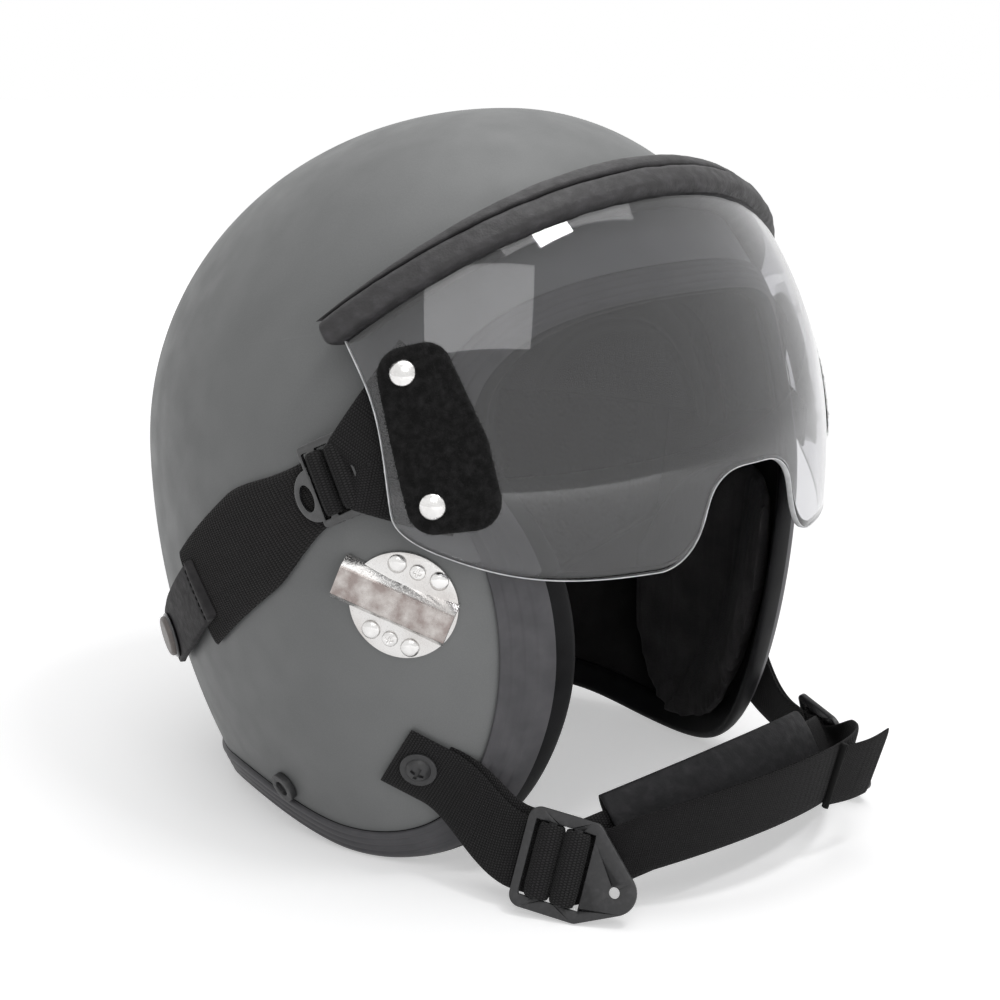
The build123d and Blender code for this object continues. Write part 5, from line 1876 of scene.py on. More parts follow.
    def build_rivets(self, shop: Workshop, side: Side) -> None:
        """The two domed rivets of a patch."""
        turn = np.linspace(0, 1, 14)
        dome = [(self.rivet_radius * t, self.rivet_rise * (1 - t**2.4) + 0.15) for t in turn]
        rim = [(self.rivet_radius, 0.0), (self.rivet_radius - 0.5, -0.25), (1.6, -0.3)]
        points, faces = spun(dome + rim + [(1.6, -5.3), (2.8, -5.3), (2.8, -6.3), (0, -6.3)])
        shape = make_piece("rivet", points, faces)
        piece = set_on(
            shop.trees, f"patch_rivets_{side.word}_domes", shape, self.seats(), side, shop.finishes.chrome
        )
        dressed(piece, shop.finishes.chrome, "rivet_chrome", "visor", [f"patch_rivets_{side.word}"])

    def build(self, shop: Workshop) -> None:
        """Builds the visor."""
        self.build_lens(shop)
        self.build_band(shop)
        self.build_lip(shop)
        for side in Side:
            self.build_patch(shop, side)


# Straps


def ribbed(along: Array, pitch: float, depth: float) -> Array:
    """The height of ribs that cross a strap."""
    return depth * (np.abs(np.sin(along * math.pi / pitch)) ** 0.7 - 0.5)


def strip_piece(
    name: str,
    middle: Array,
    up: Array,
    out: Array,
    width: Array,
    thick: float,
    pitch: float,
    depth: float,
    side: Side = Side.RIGHT,
    columns: int = 14,
    skew: float = 0.0,
) -> bpy.types.Object:
    """A flat strap along a line, with ribs across it and rounded selvedges.

    Args:
        name: The strap's name.
        middle: Points along the middle of the strap.
        up: The direction across the strap at each point.
        out: The direction of its outer face at each point.
        width: Its width, for all points or for each.
        thick: Its thickness.
        pitch: The distance between ribs.
        depth: How deep they are.
        side: The side of the helmet.
        columns: How many points lie across a face.
        skew: How far the cut ends lean, as a share of the width.

    Returns:
        The strap.
    """
    at = np.concatenate([[0], np.cumsum(np.linalg.norm(np.diff(middle, axis=0), axis=1))])
    count = max(24, int(at[-1] / pitch * 6))
    want = np.linspace(0, at[-1], count)

    def pick(values: Array) -> Array:
        """Values at the strap's rows."""
        values = np.broadcast_to(values, (len(at),) + np.shape(values)[1:] if np.ndim(values) else (len(at),))
        if values.ndim == 1:
            return np.interp(want, at, values)
        return np.stack([np.interp(want, at, values[:, k]) for k in range(values.shape[1])], axis=1)

    centre, across, face = pick(middle), unit(pick(up)), unit(pick(out))
    wide = pick(np.asarray(width, float) * np.ones(len(at)))
    share = np.sin(np.linspace(-math.pi / 2, math.pi / 2, columns))
    v = share[None] * wide[:, None] / 2
    selvedge = np.sqrt(np.clip(1 - np.abs(share) ** 8, 0, 1))[None]
    rib = ribbed(want, pitch, depth)[:, None]
    lean = unit(np.gradient(centre, axis=0))[:, None] * (v * skew)[..., None]
    base = centre[:, None] + across[:, None] * v[..., None] + lean
    half = thick / 2
    top = base + face[:, None] * ((half + rib) * selvedge)[..., None]
    bottom = base - face[:, None] * ((half + rib * 0.5) * selvedge)[..., None]
    flat = np.stack(np.broadcast_arrays(want[:, None] + v * 0, v), axis=-1)
    return sheet_piece(name, top, bottom, side, weave=flat)


def hump_piece(
    name: str,
    seat: Seat,
    along: float,
    width: float,
    inner: float,
    thick: float,
    pitch: float,
    side: Side,
    stretch: float = 1.0,
) -> bpy.types.Object:
    """Webbing wrapped round a bar that crosses a seat, stretched along the seat."""
    turn = np.linspace(0, 2 * math.pi, 97)
    radius = inner + thick / 2
    x, z = along + radius * stretch * np.cos(turn), radius * np.sin(turn)
    middle = seat.at(x, 0 * x, z)
    out = unit(np.cos(turn)[:, None] * seat.along + np.sin(turn)[:, None] * seat.out)
    up = np.broadcast_to(seat.across, middle.shape)
    return strip_piece(name, middle, up, out, width, thick, pitch, 0.22, side)


def hermite(a: Array, run_a: Array, b: Array, run_b: Array, count: int) -> Array:
    """A smooth line between two points with given directions."""
    t = np.linspace(0, 1, count)[:, None]
    pull = np.linalg.norm(b - a)
    return (
        (2 * t**3 - 3 * t**2 + 1) * a
        + (t**3 - 2 * t**2 + t) * run_a * pull
        + (3 * t**2 - 2 * t**3) * b
        + (t**3 - t**2) * run_b * pull
    )


@dataclass
class VisorStraps:
    """On each side the elastic strap, its adjuster, the visor webbing and the leather tab."""

    thick: float = 1.8
    elastic_width: float = 38.0
    neck_width: float = 22.0
    length: float = 19.0
    width: float = 28.0
    plate: float = 2.0
    bar: float = 2.6
    web_width: float = 16.8
    tab_length: float = 64.0
    tab_heel: float = 13.0
    tab_lap: float = 7.0
    tab_width: float = 24.0
    tab_thick: float = 2.2
    stand_off: float = 10.0
    adjuster_share: tuple = (-0.30, 0.104)
    aim_share: tuple = (-0.5875, 0.2235)
    stud_share: tuple = (0.487, -0.496)
    visor: Visor = field(default_factory=Visor)

    def __post_init__(self) -> None:
        """Works out the adjuster's seat from its two bars."""
        spot, middle = FORM.place(self.adjuster_share), FORM.place(self.aim_share)
        run = unit(middle - spot)
        loop = math.hypot(self.bar, self.plate) / 2 + 0.3 + self.thick
        out = (self.length - self.bar) / 2
        low = self.stand_off - 0.1
        self.rear_bar = FORM.standing(spot - run * out, 0.6 + loop)
        self.front_bar = FORM.standing(spot + run * out, low - loop)
        along = unit(self.front_bar - self.rear_bar)
        normal = FORM.outward(spot)
        normal = unit(normal - along * (normal @ along))
        self.seat = Seat((self.front_bar + self.rear_bar) / 2, along, np.cross(normal, along), normal)
        self.stud = FORM.seat(FORM.place(self.stud_share), spot, 0.3)
        self.inner_bar = 3.9

    def build_adjuster(self, shop: Workshop, side: Side) -> None:
        """The slide, with a lug to pull it by, and the webbing round its two inner bars."""
        edge = 1.5
        slots = [
            rounded_box(2.6, 22.8, 0.5, (-7.0, 0)),
            rounded_box(5.2, 22.8, 0.5, (0, 0)),
            rounded_box(2.6, 22.8, 0.5, (7.0, 0)),
        ]
        frame = flat_plate(
            f"strap_adjuster_{side.word}_slide",
            [rounded_box(self.length, self.width, edge), *slots],
            self.plate,
            0.45,
            self.seat,
            side,
        )
        body = f"adjuster_{side.word}"
        finishes = shop.finishes
        dressed(frame, finishes.black, "black_steel", body, [f"strap_adjuster_{side.word}"])
        tilt = math.radians(9)
        hinge = self.seat.at(np.array(-self.length / 2 + 0.6), np.array(-2.5), np.array(0.4))
        along = self.seat.along * math.cos(tilt) + self.seat.out * math.sin(tilt)
        lug_seat = Seat(hinge, along, self.seat.across, np.cross(along, self.seat.across))
        turn = np.linspace(math.pi / 2, 3 * math.pi / 2, 30)
        rim = np.stack([8.6 * np.cos(turn), 9.0 * np.sin(turn)], axis=1)
        outline = np.vstack([rim, (0.8, -9.6), (0.8, 9.6)])
        hole = np.stack([-3.5 + 2.9 * np.cos(turn * 2), 4.6 * np.sin(turn * 2)], axis=1)[:-1]
        lug = flat_plate(f"strap_adjuster_{side.word}_lug", [outline, hole], 1.5, 0.4, lug_seat, side)
        dressed(lug, finishes.black, "black_steel", body)
        for word, along_x in (("rear", -self.inner_bar), ("front", self.inner_bar)):
            hump = hump_piece(
                f"adjuster_{side.word}_{word}_loop", self.seat, along_x, 21.6, 1.5, 1.8, 1.25, side
            )
            dressed(hump, finishes.webbing, "webbing_black", body)

    def build_elastic(self, shop: Workshop, side: Side) -> None:
        """The elastic strap, ribbed and drawn in to the adjuster."""
        end = self.stud.local(self.seat.at(np.array(-self.inner_bar), np.array(0.0)))
        start = self.tab_length - self.tab_heel - self.tab_lap
        fine = np.linspace(start - 5, end[0] + 1.0, 400)
        drift = end[1] * ease((fine - start) / (end[0] - start))
        line = FORM.sink(self.stud.at(fine, drift), self.stud.out, 0.6)
        at = np.concatenate([[0], np.cumsum(np.linalg.norm(np.diff(line, axis=0), axis=1))])
        pitch = 1.7
        rows = np.linspace(0, at[-1], int(at[-1] / pitch * 7))
        x = np.interp(rows, at, fine)
        left = end[0] - x
        wide = self.neck_width + (self.elastic_width - self.neck_width) * ease((left - 5) / 36)
        share = np.sin(np.linspace(-math.pi / 2, math.pi / 2, 26))
        v = share[None] * wide[:, None] / 2
        y = v + np.interp(x, fine, drift)[:, None] + 0 * v
        gather = ease(1 - left / 30)[:, None] * 0.5 * np.sin(v * 1.1) * np.sin(rows[:, None] / 4.0)
        spots = self.stud.at(x[:, None] + 0 * v + gather, y)
        selvedge = np.sqrt(np.clip(1 - np.abs(share) ** 10, 0, 1))[None]
        wander = 0.3 * np.sin(v / 9.0 + 0.6)
        rib = ribbed(rows[:, None] + wander, pitch, 0.42)
        low = 0.6 + 0 * v
        top = FORM.sink(spots, self.stud.out, low + 0.9 + (0.9 + rib) * selvedge)
        bottom = FORM.sink(spots, self.stud.out, low + 0.9 - 0.9 * selvedge)
        flat = np.stack(np.broadcast_arrays(rows[:, None] + wander, v), axis=-1)
        name = f"elastic_strap_{side.word}"
        piece = sheet_piece(name + "_ribbed", top, bottom, side, weave=flat)
        dressed(piece, shop.finishes.elastic, "elastic_grey", "", [name])
        flip = np.array([side.value, 1, 1]) * MM
        place = self.stud.at(np.array([start + 12, end[0] - 9]), np.array([0.0, 0.0])) * flip
        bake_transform(piece)

    def build_web(self, shop: Workshop, side: Side) -> None:
        """The two arms of the visor webbing, under the lens, as two pieces."""
        origin = self.seat.at(np.array(self.inner_bar - 0.5), np.array(0.0), np.array(-1.6))
        web = Seat(origin, self.seat.along, self.seat.across, self.seat.out)
        arms = []
        for word, share in (("upper", self.visor.upper_share), ("lower", self.visor.lower_share)):
            tip = web.local(FORM.standing(FORM.place(share), self.stand_off))[:2]
            run = unit(tip)
            reach = float(np.linalg.norm(tip)) + 6.0
            at = np.linspace(0, reach, 60)
            flat = np.stack([at * run[0], at * run[1]], axis=1)
            rise = self.stand_off - 1.9 - self.thick / 2
            middle = FORM.sink(web.at(flat[:, 0], flat[:, 1]), web.out, rise)
            share_in = ease(at / 9.0)[:, None]
            middle = web.at(flat[:, 0], flat[:, 1]) * (1 - share_in) + middle * share_in
            out = away_from_middle(middle)
            up = np.cross(out, unit(np.gradient(middle, axis=0)))
            name = f"visor_web_{side.word}_{word}"
            node = [f"visor_web_{side.word}"] if word == "upper" else []
            piece = strip_piece(name, middle, up, out, self.web_width + 2.0, self.thick - 0.2, 1.3, 0.3, side, 16)
            dressed(piece, shop.finishes.webbing, "webbing_black", "visor", node)
            arms.append(piece)

    def tab_outline(self) -> Array:
        """The leather tab's outline on the stud's seat, with a pointed heel."""
        end = self.tab_length - self.tab_heel
        half = self.tab_width / 2
        corners = np.array(
            [
                (end, half - 0.6),
                (end + 1.2, -half + 0.2),
                (18, -half),
                (-self.tab_heel + 0.3, -half + 3.0),
                (-self.tab_heel + 4.0, half - 1.5),
                (12, half - 0.3),
            ]
        )
        path = []
        count = len(corners)
        for k in range(count):
            before, here, after = corners[k - 1], corners[k], corners[(k + 1) % count]
            radius = 1.6 if k in (0, 1) else 4.5
            a = here + unit(before - here) * radius
            b = here + unit(after - here) * radius
            t = np.linspace(0, 1, 7)[:, None]
            path.append((1 - t) ** 2 * a + 2 * t * (1 - t) * here + t**2 * b)
        return even(ring_closed(np.concatenate(path)), 181)[:-1]

    def build_tab(self, shop: Workshop, side: Side) -> None:
        """The leather tab, its seam and its snap."""
        outline = self.tab_outline()
        middle = outline.mean(axis=0)
        share = np.linspace(0, 1, 44)[:, None, None]
        flat = middle + (outline - middle)[None] * share
        inset = np.linalg.norm(outline - middle, axis=1) * (1 - share[..., 0])
        round_off = np.sqrt(1 - (1 - np.clip(inset / 0.8, 0, 1)) ** 2)
        end = self.tab_length - self.tab_heel
        spots = self.stud.at(flat[..., 0], flat[..., 1])
        fold = 0.7 * np.exp(-(((flat[..., 0] - end + 1.6) / 1.6) ** 2))
        crease = -0.35 * np.exp(-(((flat[..., 0] - end + 5.0) / 0.7) ** 2))
        dents = rough(spots, 12.0, 1.3) * 0.25
        low = 0.6 + self.thick + 0.1
        high = low + 0.5 + (self.tab_thick - 0.5) * round_off + fold + crease + dents
        top = FORM.sink(spots, self.stud.out, high)
        bottom = FORM.sink(spots, self.stud.out, low + 0.3 * (1 - round_off))
        body = f"rear_tab_{side.word}"
        piece = sheet_piece(f"rear_tab_{side.word}_leather", top, bottom, side, wrap=True)
        dressed(piece, shop.finishes.leather, "tab_leather", body, [body])
        self.build_stitches(shop, side, low + self.tab_thick)
        shop.keep_node(f"snap_cap_{side.word}", shop.finishes.snap, 0.3)
        shop.keep_node(f"rear_stud_{side.word}", shop.finishes.black, 0.0)
        ring_seat = FORM.seat(FORM.place(self.stud_share), FORM.place(self.adjuster_share), low + self.tab_thick + 0.1)
        turn = np.linspace(0, 2 * math.pi, 13)
        profile = [(8.0 + 0.75 * math.cos(a), 0.6 + 0.7 * math.sin(a)) for a in turn]
        points, faces = spun(profile, 64)
        ring = set_on(
            shop.trees,
            f"snap_ring_{side.word}",
            make_piece("ring", points, faces),
            [ring_seat],
            side,
            shop.finishes.black,
        )
        dressed(ring, shop.finishes.black, "black_steel", body)

    def build_stitches(self, shop: Workshop, side: Side, height: float) -> None:
        """A row of stitches across the tab beside its folded end."""
        end = self.tab_length - self.tab_heel - 5.0
        seats = []
        for y in np.arange(-self.tab_width / 2 + 2.2, self.tab_width / 2 - 2, 2.6):
            spot = FORM.sink(self.stud.at(np.array([end]), np.array([y])), self.stud.out, height - 0.1)[0]
            out = away_from_middle(spot)
            along = unit(self.stud.across - out * (self.stud.across @ out))
            seats.append(Seat(spot, along, np.cross(out, along), out))
        t = np.linspace(-1, 1, 9)
        line = np.stack([t * 0.95, 0 * t, 0.22 * (1 - t**2) - 0.05], axis=1)
        turn = np.linspace(0, 2 * math.pi, 8, endpoint=False)
        girth = 0.24 * np.sqrt(np.clip(1.05 - t**2, 0.02, 1))
        rings = line[:, None] + np.stack(
            [0 * turn, np.cos(turn), np.sin(turn)], axis=1
        )[None] * girth[:, None, None]
        stitch = tube_piece("stitch", rings)
        piece = set_on(
            shop.trees, f"rear_tab_{side.word}_stitches", stitch, seats, side, shop.finishes.thread
        )
        dressed(piece, shop.finishes.thread, "webbing_black", f"rear_tab_{side.word}")

    def build(self, shop: Workshop) -> None:
        """Builds both sides."""
        for side in Side:
            self.build_adjuster(shop, side)
            self.build_elastic(shop, side)
            self.build_web(shop, side)
            self.build_tab(shop, side)


# Receivers and snaps


@dataclass
class Fittings:
    """The bayonet receivers with their fasteners, and the ring snaps beside the rim."""

    share: tuple = (-0.48, -0.214)
    aim: tuple = (-0.70, -0.31)
    row: float = 12.8
    pitch: float = 7.2
    top: float = 1.6
    rivet_radius: float = 3.2
    rivet_rise: float = 1.3
    screw_radius: float = 2.6
    screw_rise: float = 1.1

    def screw_shape(self) -> bpy.types.Object:
        """A domed screw head with a four-armed recess."""
        head = self.screw_radius
        t = np.linspace(0, 1, 12)
        dome = [(head * s, self.screw_rise * (1 - 0.75 * s**2.5) + 0.05) for s in t]
        points, faces = spun(dome + [(head, 0.0), (head - 0.3, -0.2), (0, -0.2)], 64)
        x, y, z = points[:, 0].copy(), points[:, 1].copy(), points[:, 2]
        arm = 0.36 * (1 - 0.3 * (np.hypot(x, y) / head))
        reach = head * 0.62
        depth = np.minimum(
            1,
            np.maximum(
                ease((arm - np.abs(x)) / 0.22 + 0.5) * ease((reach - np.abs(y)) / 0.4),
                ease((arm - np.abs(y)) / 0.22 + 0.5) * ease((reach - np.abs(x)) / 0.4),
            ),
        )
        points[:, 2] = np.where(z > 0.1, z - 0.75 * depth, z)
        return make_piece("screw", points, faces)

    def build(self, shop: Workshop) -> None:
        """Builds both sides."""
        seat = FORM.seat(FORM.place(self.share), FORM.place(self.aim), 0.3)
        rivets = [(x, s * self.row) for s in (-1, 1) for x in (-self.pitch, self.pitch)]
        finishes = shop.finishes
        for side in Side:
            shop.keep_node(f"bayonet_receiver_{side.word}", finishes.plate, 0.3)
            seats = [FORM.beside(seat, x, y, self.top) for x, y in rivets]
            t = np.linspace(0, 1, 12)
            dome = [(self.rivet_radius * s, self.rivet_rise * (1 - s**3) + 0.25) for s in t]
            rim = [(self.rivet_radius, 0.0), (self.rivet_radius - 0.3, -0.15), (2.0, -0.15), (2.0, -5.0), (0, -5.0)]
            points, faces = spun(dome + rim)
            shape = make_piece("rivet", points, faces)
            name = f"receiver_rivets_{side.word}"
            piece = set_on(shop.trees, name + "_domes", shape, seats, side, finishes.chrome)
            dressed(piece, finishes.chrome, "rivet_chrome", "helmet", [name])
            seats = [FORM.beside(seat, 0, s * self.row, self.top) for s in (-1, 1)]
            name = f"receiver_screws_{side.word}"
            piece = set_on(shop.trees, name + "_heads", self.screw_shape(), seats, side, finishes.chrome)
            dressed(piece, finishes.chrome, "rivet_chrome", "helmet", [name])
            shop.keep_node(f"ring_snap_{side.word}", finishes.satin, 0.3)


# Chin strap


@dataclass
class ChinStrap:
    """The chin webbing, buckles, outer tape, inner band with its sleeve, and the free tail."""

    thick: float = 1.8
    width: float = 25.0
    heel: float = 9.0
    reach: float = 143.0
    bow_radius: float = 99.5
    front_rise: float = 17.0
    rise_angle: float = 22.0
    lean_angle: float = 15.0
    half_span: float = 62.0
    buckle_span: float = 80.0
    buckle_ahead: float = 97.0
    heading: float = 22.0
    dip: float = 8.5
    lean: float = 20.0
    buckle_length: float = 27.0
    buckle_width: float = 34.0
    plate: float = 2.0
    bar: float = 3.0
    pitch: float = 9.0
    screw_share: tuple = (-0.45, -0.67)
    washer_radius: float = 6.5
    pad_radius: float = 134.0
    pad_reach: float = 121.6
    pad_rise: float = 12.5
    pad_lean: float = 30.0
    pad_far: float = 62.0
    pad_near: float = 42.0
    pad_height: float = 30.0
    pad_thick: float = 6.0
    pad_lift: float = 2.5
    tail_seam: float = 15.0
    tail_length: float = 24.0
    tail_stand: float = 14.0

    def __post_init__(self) -> None:
        """Works out the seats of the buckle, the screw and the bowed bands."""
        heading, dip, lean = (math.radians(a) for a in (self.heading, self.dip, self.lean))
        run = np.array(
            [math.cos(dip) * math.sin(heading), -math.cos(dip) * math.cos(heading), -math.sin(dip)]
        )
        level = unit(np.array([0.0, 0.0, 1.0]) - run * run[2])
        up = level * math.cos(lean) - np.cross(run, level) * math.sin(lean)
        out = np.cross(run, up)
        corner = self.buckle_width * 0.12
        lift = (
            (self.buckle_length / 2 - corner) * abs(run[2])
            + (self.buckle_width / 2 - corner) * up[2]
            + corner * math.hypot(run[2], up[2])
            + self.plate / 2 * abs(out[2])
        )
        centre = FORM.centre + np.array([-self.buckle_span, -self.buckle_ahead, lift - FORM.rim_drop])
        self.buckle = Seat(centre, run, up, out)
        self.loop = math.hypot(self.bar, self.plate) / 2 + 0.3 + self.thick
        self.foot_height = self.thick / 2 - self.loop
        place = FORM.place(self.screw_share)
        rear = self.buckle.at(*np.array([-self.buckle_length / 2, 0, self.foot_height]))
        self.screw = aimed(FORM.standing(place, 0.3), rear, FORM.outward(place))
        band_lean, band_rise = math.radians(self.lean_angle), math.radians(self.rise_angle)
        front = FORM.centre + np.array([0, -self.reach, lift + self.front_rise - FORM.rim_drop])
        normal = np.array([0, -math.sin(band_lean), math.cos(band_lean)])
        self.band = Seat(front, np.array([1.0, 0, 0]), np.cross(normal, [1.0, 0, 0]), normal)
        self.slip = math.tan(band_lean + band_rise)
        pad_lean = math.radians(self.pad_lean)
        front = FORM.centre + np.array([0, -self.pad_reach, lift + self.pad_rise - FORM.rim_drop])
        normal = np.array([0, math.sin(pad_lean), math.cos(pad_lean)])
        self.pad = Seat(front, np.array([1.0, 0, 0]), np.cross(normal, [1.0, 0, 0]), normal)

    def bow_line(self, x: Array, radius: float) -> tuple[Array, Array]:
        """Points and outward directions along the outer tape's bow at sideways places."""
        turn = np.arcsin(x / self.bow_radius)
        back = self.bow_radius * (1 - np.cos(turn))
        depth = radius * np.cos(turn)
        points = self.band.at(radius * np.sin(turn), self.bow_radius - depth, -back * self.slip)
        out = np.sin(turn)[:, None] * self.band.along - np.cos(turn)[:, None] * self.band.across
        return points, unit(out)

    def tape_line(self) -> tuple[Array, Array, Array]:
        """The outer tape's middle line, from under the right buckle to the left one."""
        x = np.linspace(-self.half_span, 0, 60)
        middle, out = self.bow_line(x, self.bow_radius - self.thick / 2)
        foot = self.buckle.at(*np.array([self.pitch / 2, 0, self.foot_height]))
        join = hermite(foot, self.buckle.along * 0.9, middle[0], unit(middle[1] - middle[0]) * 0.9, 30)
        share = ease(np.linspace(0, 1, 30))[:, None]
        join_out = unit(self.buckle.out * (1 - share) + out[0] * share)
        join_up = unit(self.buckle.across * (1 - share) + self.band.out * share)
        up = np.broadcast_to(self.band.out, middle.shape)
        right = [np.concatenate(p) for p in ((join[:-1], middle), (join_out[:-1], out), (join_up[:-1], up))]
        flip = np.array([-1, 1, 1])
        full = [np.concatenate([p, (p * flip)[-2::-1]]) for p in right]
        return full[0], full[2], full[1]

    def build_tape(self, shop: Workshop) -> None:
        """The outer tape and the loops round the buckles' third bars."""
        middle, up, out = self.tape_line()
        piece = strip_piece("chin_band_tape", middle, up, out, self.width, self.thick, 0.9, 0.12, columns=16)
        dressed(piece, shop.finishes.tape, "webbing_black", "chin_strap", ["chin_band"])
        for side in Side:
            for word, along in (("front", self.pitch / 2), ("rear", -self.pitch / 2)):
                name = f"chin_buckle_{side.word}_{word}_loop"
                inner = math.hypot(self.bar, self.plate) / 2 + 0.25
                hump = hump_piece(name, self.buckle, along, self.width, inner, self.thick, 1.15, side, 1.22)
                dressed(hump, shop.finishes.webbing, "webbing_black", f"chin_buckle_{side.word}")

    def build_ply(self, shop: Workshop) -> None:
        """A shorter second ply inside the outer tape, a little lower, as it is sewn."""
        x = np.linspace(-self.half_span + 6, 4, 50)
        middle, out = self.bow_line(x, self.bow_radius - self.thick * 1.5 - 0.1)
        up = np.broadcast_to(self.band.out, middle.shape)
        middle = middle - self.band.out * 1.3
        piece = strip_piece("chin_band_ply", middle, up, out, self.width, 1.4, 0.9, 0.12)
        dressed(piece, shop.finishes.tape, "webbing_black", "chin_strap")

    def pad_spots(self, x: Array, offset: Array, up: Array) -> Array:
        """Points on the inner band's bow: sideways, outwards and up."""
        turn = np.arcsin(x / self.pad_radius)
        radius = self.pad_radius + offset
        return self.pad.at(radius * np.sin(turn), self.pad_radius - radius * np.cos(turn), up)

    def behind_tape(self, points: Array, gap: float) -> Array:
        """Points kept behind the outer tape."""
        local = self.band.local(points)
        across = local[..., 1] - self.bow_radius
        far = np.hypot(local[..., 0], across)
        scale = np.minimum(1, (self.bow_radius - gap) / np.maximum(far, 1e-6))
        return self.band.at(local[..., 0] * scale, self.bow_radius + across * scale, local[..., 2])

    def build_inner(self, shop: Workshop) -> None:
        """The inner band that carries the sleeve."""
        x = np.linspace(-69, 69, 90)
        zero = np.zeros(len(x))
        middle = self.behind_tape(self.pad_spots(x, zero, zero), self.thick * 1.5 + 0.9)
        out = unit(middle - self.pad.at(np.array(0.0), np.array(self.pad_radius)))
        out = unit(out - self.pad.out * (out @ self.pad.out)[:, None])
        up = np.broadcast_to(self.pad.out, middle.shape)
        piece = strip_piece("chin_inner_band_web", middle, up, out, self.width - 0.5, 1.6, 1.05, 0.2)
        dressed(piece, shop.finishes.webbing, "webbing_black", "chin_strap", ["chin_inner_band"])

    def build_sleeve(self, shop: Workshop) -> None:
        """The sleeve: a soft open tube round the inner band."""
        x = np.linspace(-self.pad_far, self.pad_near, 90)
        turn = np.linspace(0, 2 * math.pi, 64, endpoint=False)
        walls = []
        for shrink in (0.0, 1.1):
            tall, deep = self.pad_height / 2 - shrink, self.pad_thick / 2 + 0.4 - shrink
            up = self.pad_lift + tall * np.sin(turn)
            off = deep * np.sign(np.cos(turn)) * np.abs(np.cos(turn)) ** 0.75
            points = self.pad_spots(*np.broadcast_arrays(x[:, None], off[None], up[None]))
            sag = rough(points, 16.0, 9.0) * 0.8 + rough(points, 5.0, 6.0) * 0.25
            points = points + self.pad.across * (sag * (1 if shrink == 0 else 0.9))[..., None]
            walls.append(self.behind_tape(points, self.thick * 2 + 1.9 + shrink))
        outer, inner = walls
        rows, cols = outer.shape[:2]
        count = rows * cols
        first, last = np.arange(cols), np.arange(cols) + count - cols
        faces = np.concatenate(
            [
                quads(rows, cols, True),
                quads(rows, cols, True, count),
                between(first, first + count),
                between(last, last + count),
            ]
        )
        piece = make_piece("chin_pad_sleeve", np.concatenate([outer.reshape(-1, 3), inner.reshape(-1, 3)]), faces)
        dressed(piece, shop.finishes.sleeve, "roll_black", "chin_pad", ["chin_pad"])

    def build_tail(self, shop: Workshop) -> None:
        """The free end of the tape, with its folded seam."""
        turn = math.asin(self.tail_seam / self.bow_radius)
        start, out = self.bow_line(np.array([self.tail_seam]), self.bow_radius + 0.1)
        angle = turn - math.radians(self.tail_stand)
        run = self.band.along * math.cos(angle) + self.band.across * math.sin(angle)
        face = np.cross(run, self.band.out)
        at = np.linspace(0, self.tail_length, 40)
        curl = 1.1 * np.sin(at / self.tail_length * math.pi)
        middle = start[0] + at[:, None] * run + (self.thick / 2 + curl)[:, None] * face
        up = np.broadcast_to(self.band.out, middle.shape)
        faces = np.broadcast_to(face, middle.shape)
        wide = self.width + 1.6 * (at / self.tail_length) ** 2
        piece = strip_piece(
            "chin_tail_flap", middle, up, faces, wide, 1.5, 0.9, 0.12, columns=16, skew=0.12
        )
        dressed(piece, shop.finishes.tape, "webbing_black", "chin_tail", ["chin_tail"])
        fold = np.linspace(-1, 1, 30)
        line = start[0] + self.band.out * (fold * (self.width / 2 + 0.6))[:, None] + face * 0.9
        ring = np.linspace(0, 2 * math.pi, 14, endpoint=False)
        around = np.cos(ring)[:, None] * run * 1.1 + np.sin(ring)[:, None] * face * 1.35
        seam = tube_piece("chin_tail_seam", line[:, None] + around[None])
        dressed(seam, shop.finishes.tape, "webbing_black", "chin_strap")

    def build_web(self, shop: Workshop, side: Side) -> None:
        """The webbing from the screw to the buckle, in two plies."""
        height = self.thick / 2
        a = self.screw.at(*np.array([-self.heel, 0, height]))
        b = self.screw.at(*np.array([self.washer_radius + 0.3, 0, height]))
        c = self.buckle.at(*np.array([-self.buckle_length / 2, 0, self.foot_height]))
        d = self.buckle.at(*np.array([-self.pitch / 2, 0, self.foot_height]))
        free = hermite(b, self.screw.along, c, self.buckle.along, 60)
        middle = np.concatenate([even(np.stack([a, b]), 16)[:-1], free, even(np.stack([c, d]), 10)[1:]])
        share = ease((np.arange(len(middle)) - 15) / 59)[:, None]
        out = unit(self.screw.out * (1 - share) + self.buckle.out * share)
        up = unit(self.screw.across * (1 - share) + self.buckle.across * share)
        name = f"chin_web_{side.word}"
        bits = {"side": side, "columns": 16}
        piece = strip_piece(name + "_tape", middle, up, out, self.width, self.thick, 1.05, 0.26, **bits)
        dressed(piece, shop.finishes.webbing, "webbing_black", "", [name])
        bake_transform(piece)
        lift = (3.4 * ease(np.linspace(0, 1, len(middle)) * 1.4))[:, None]
        back_ply = middle[14:] - out[14:] * (self.thick + 0.25) + up[14:] * lift[14:]
        ply = strip_piece(
            name + "_ply", back_ply, up[14:], out[14:], self.width - 1.0, 1.5, 1.05, 0.22, **bits
        )
        dressed(ply, shop.finishes.webbing, "webbing_black", "")
        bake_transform(ply)

    def build(self, shop: Workshop) -> None:
        """Builds the chin strap."""
        self.build_tape(shop)
        self.build_ply(shop)
        self.build_inner(shop)
        self.build_sleeve(shop)
        self.build_tail(shop)
        for side in Side:
            self.build_web(shop, side)
            word = side.word
            shop.keep_node(f"chin_buckle_{word}", shop.finishes.satin, 0.35)
            shop.keep_node(f"chin_washer_{word}", shop.finishes.satin, 0.25)
            shop.keep_node(f"chin_screw_{word}", shop.finishes.satin, 0.15)
            shop.keep_node(f"chin_nut_{word}", shop.finishes.satin, 0.3)


# Studio


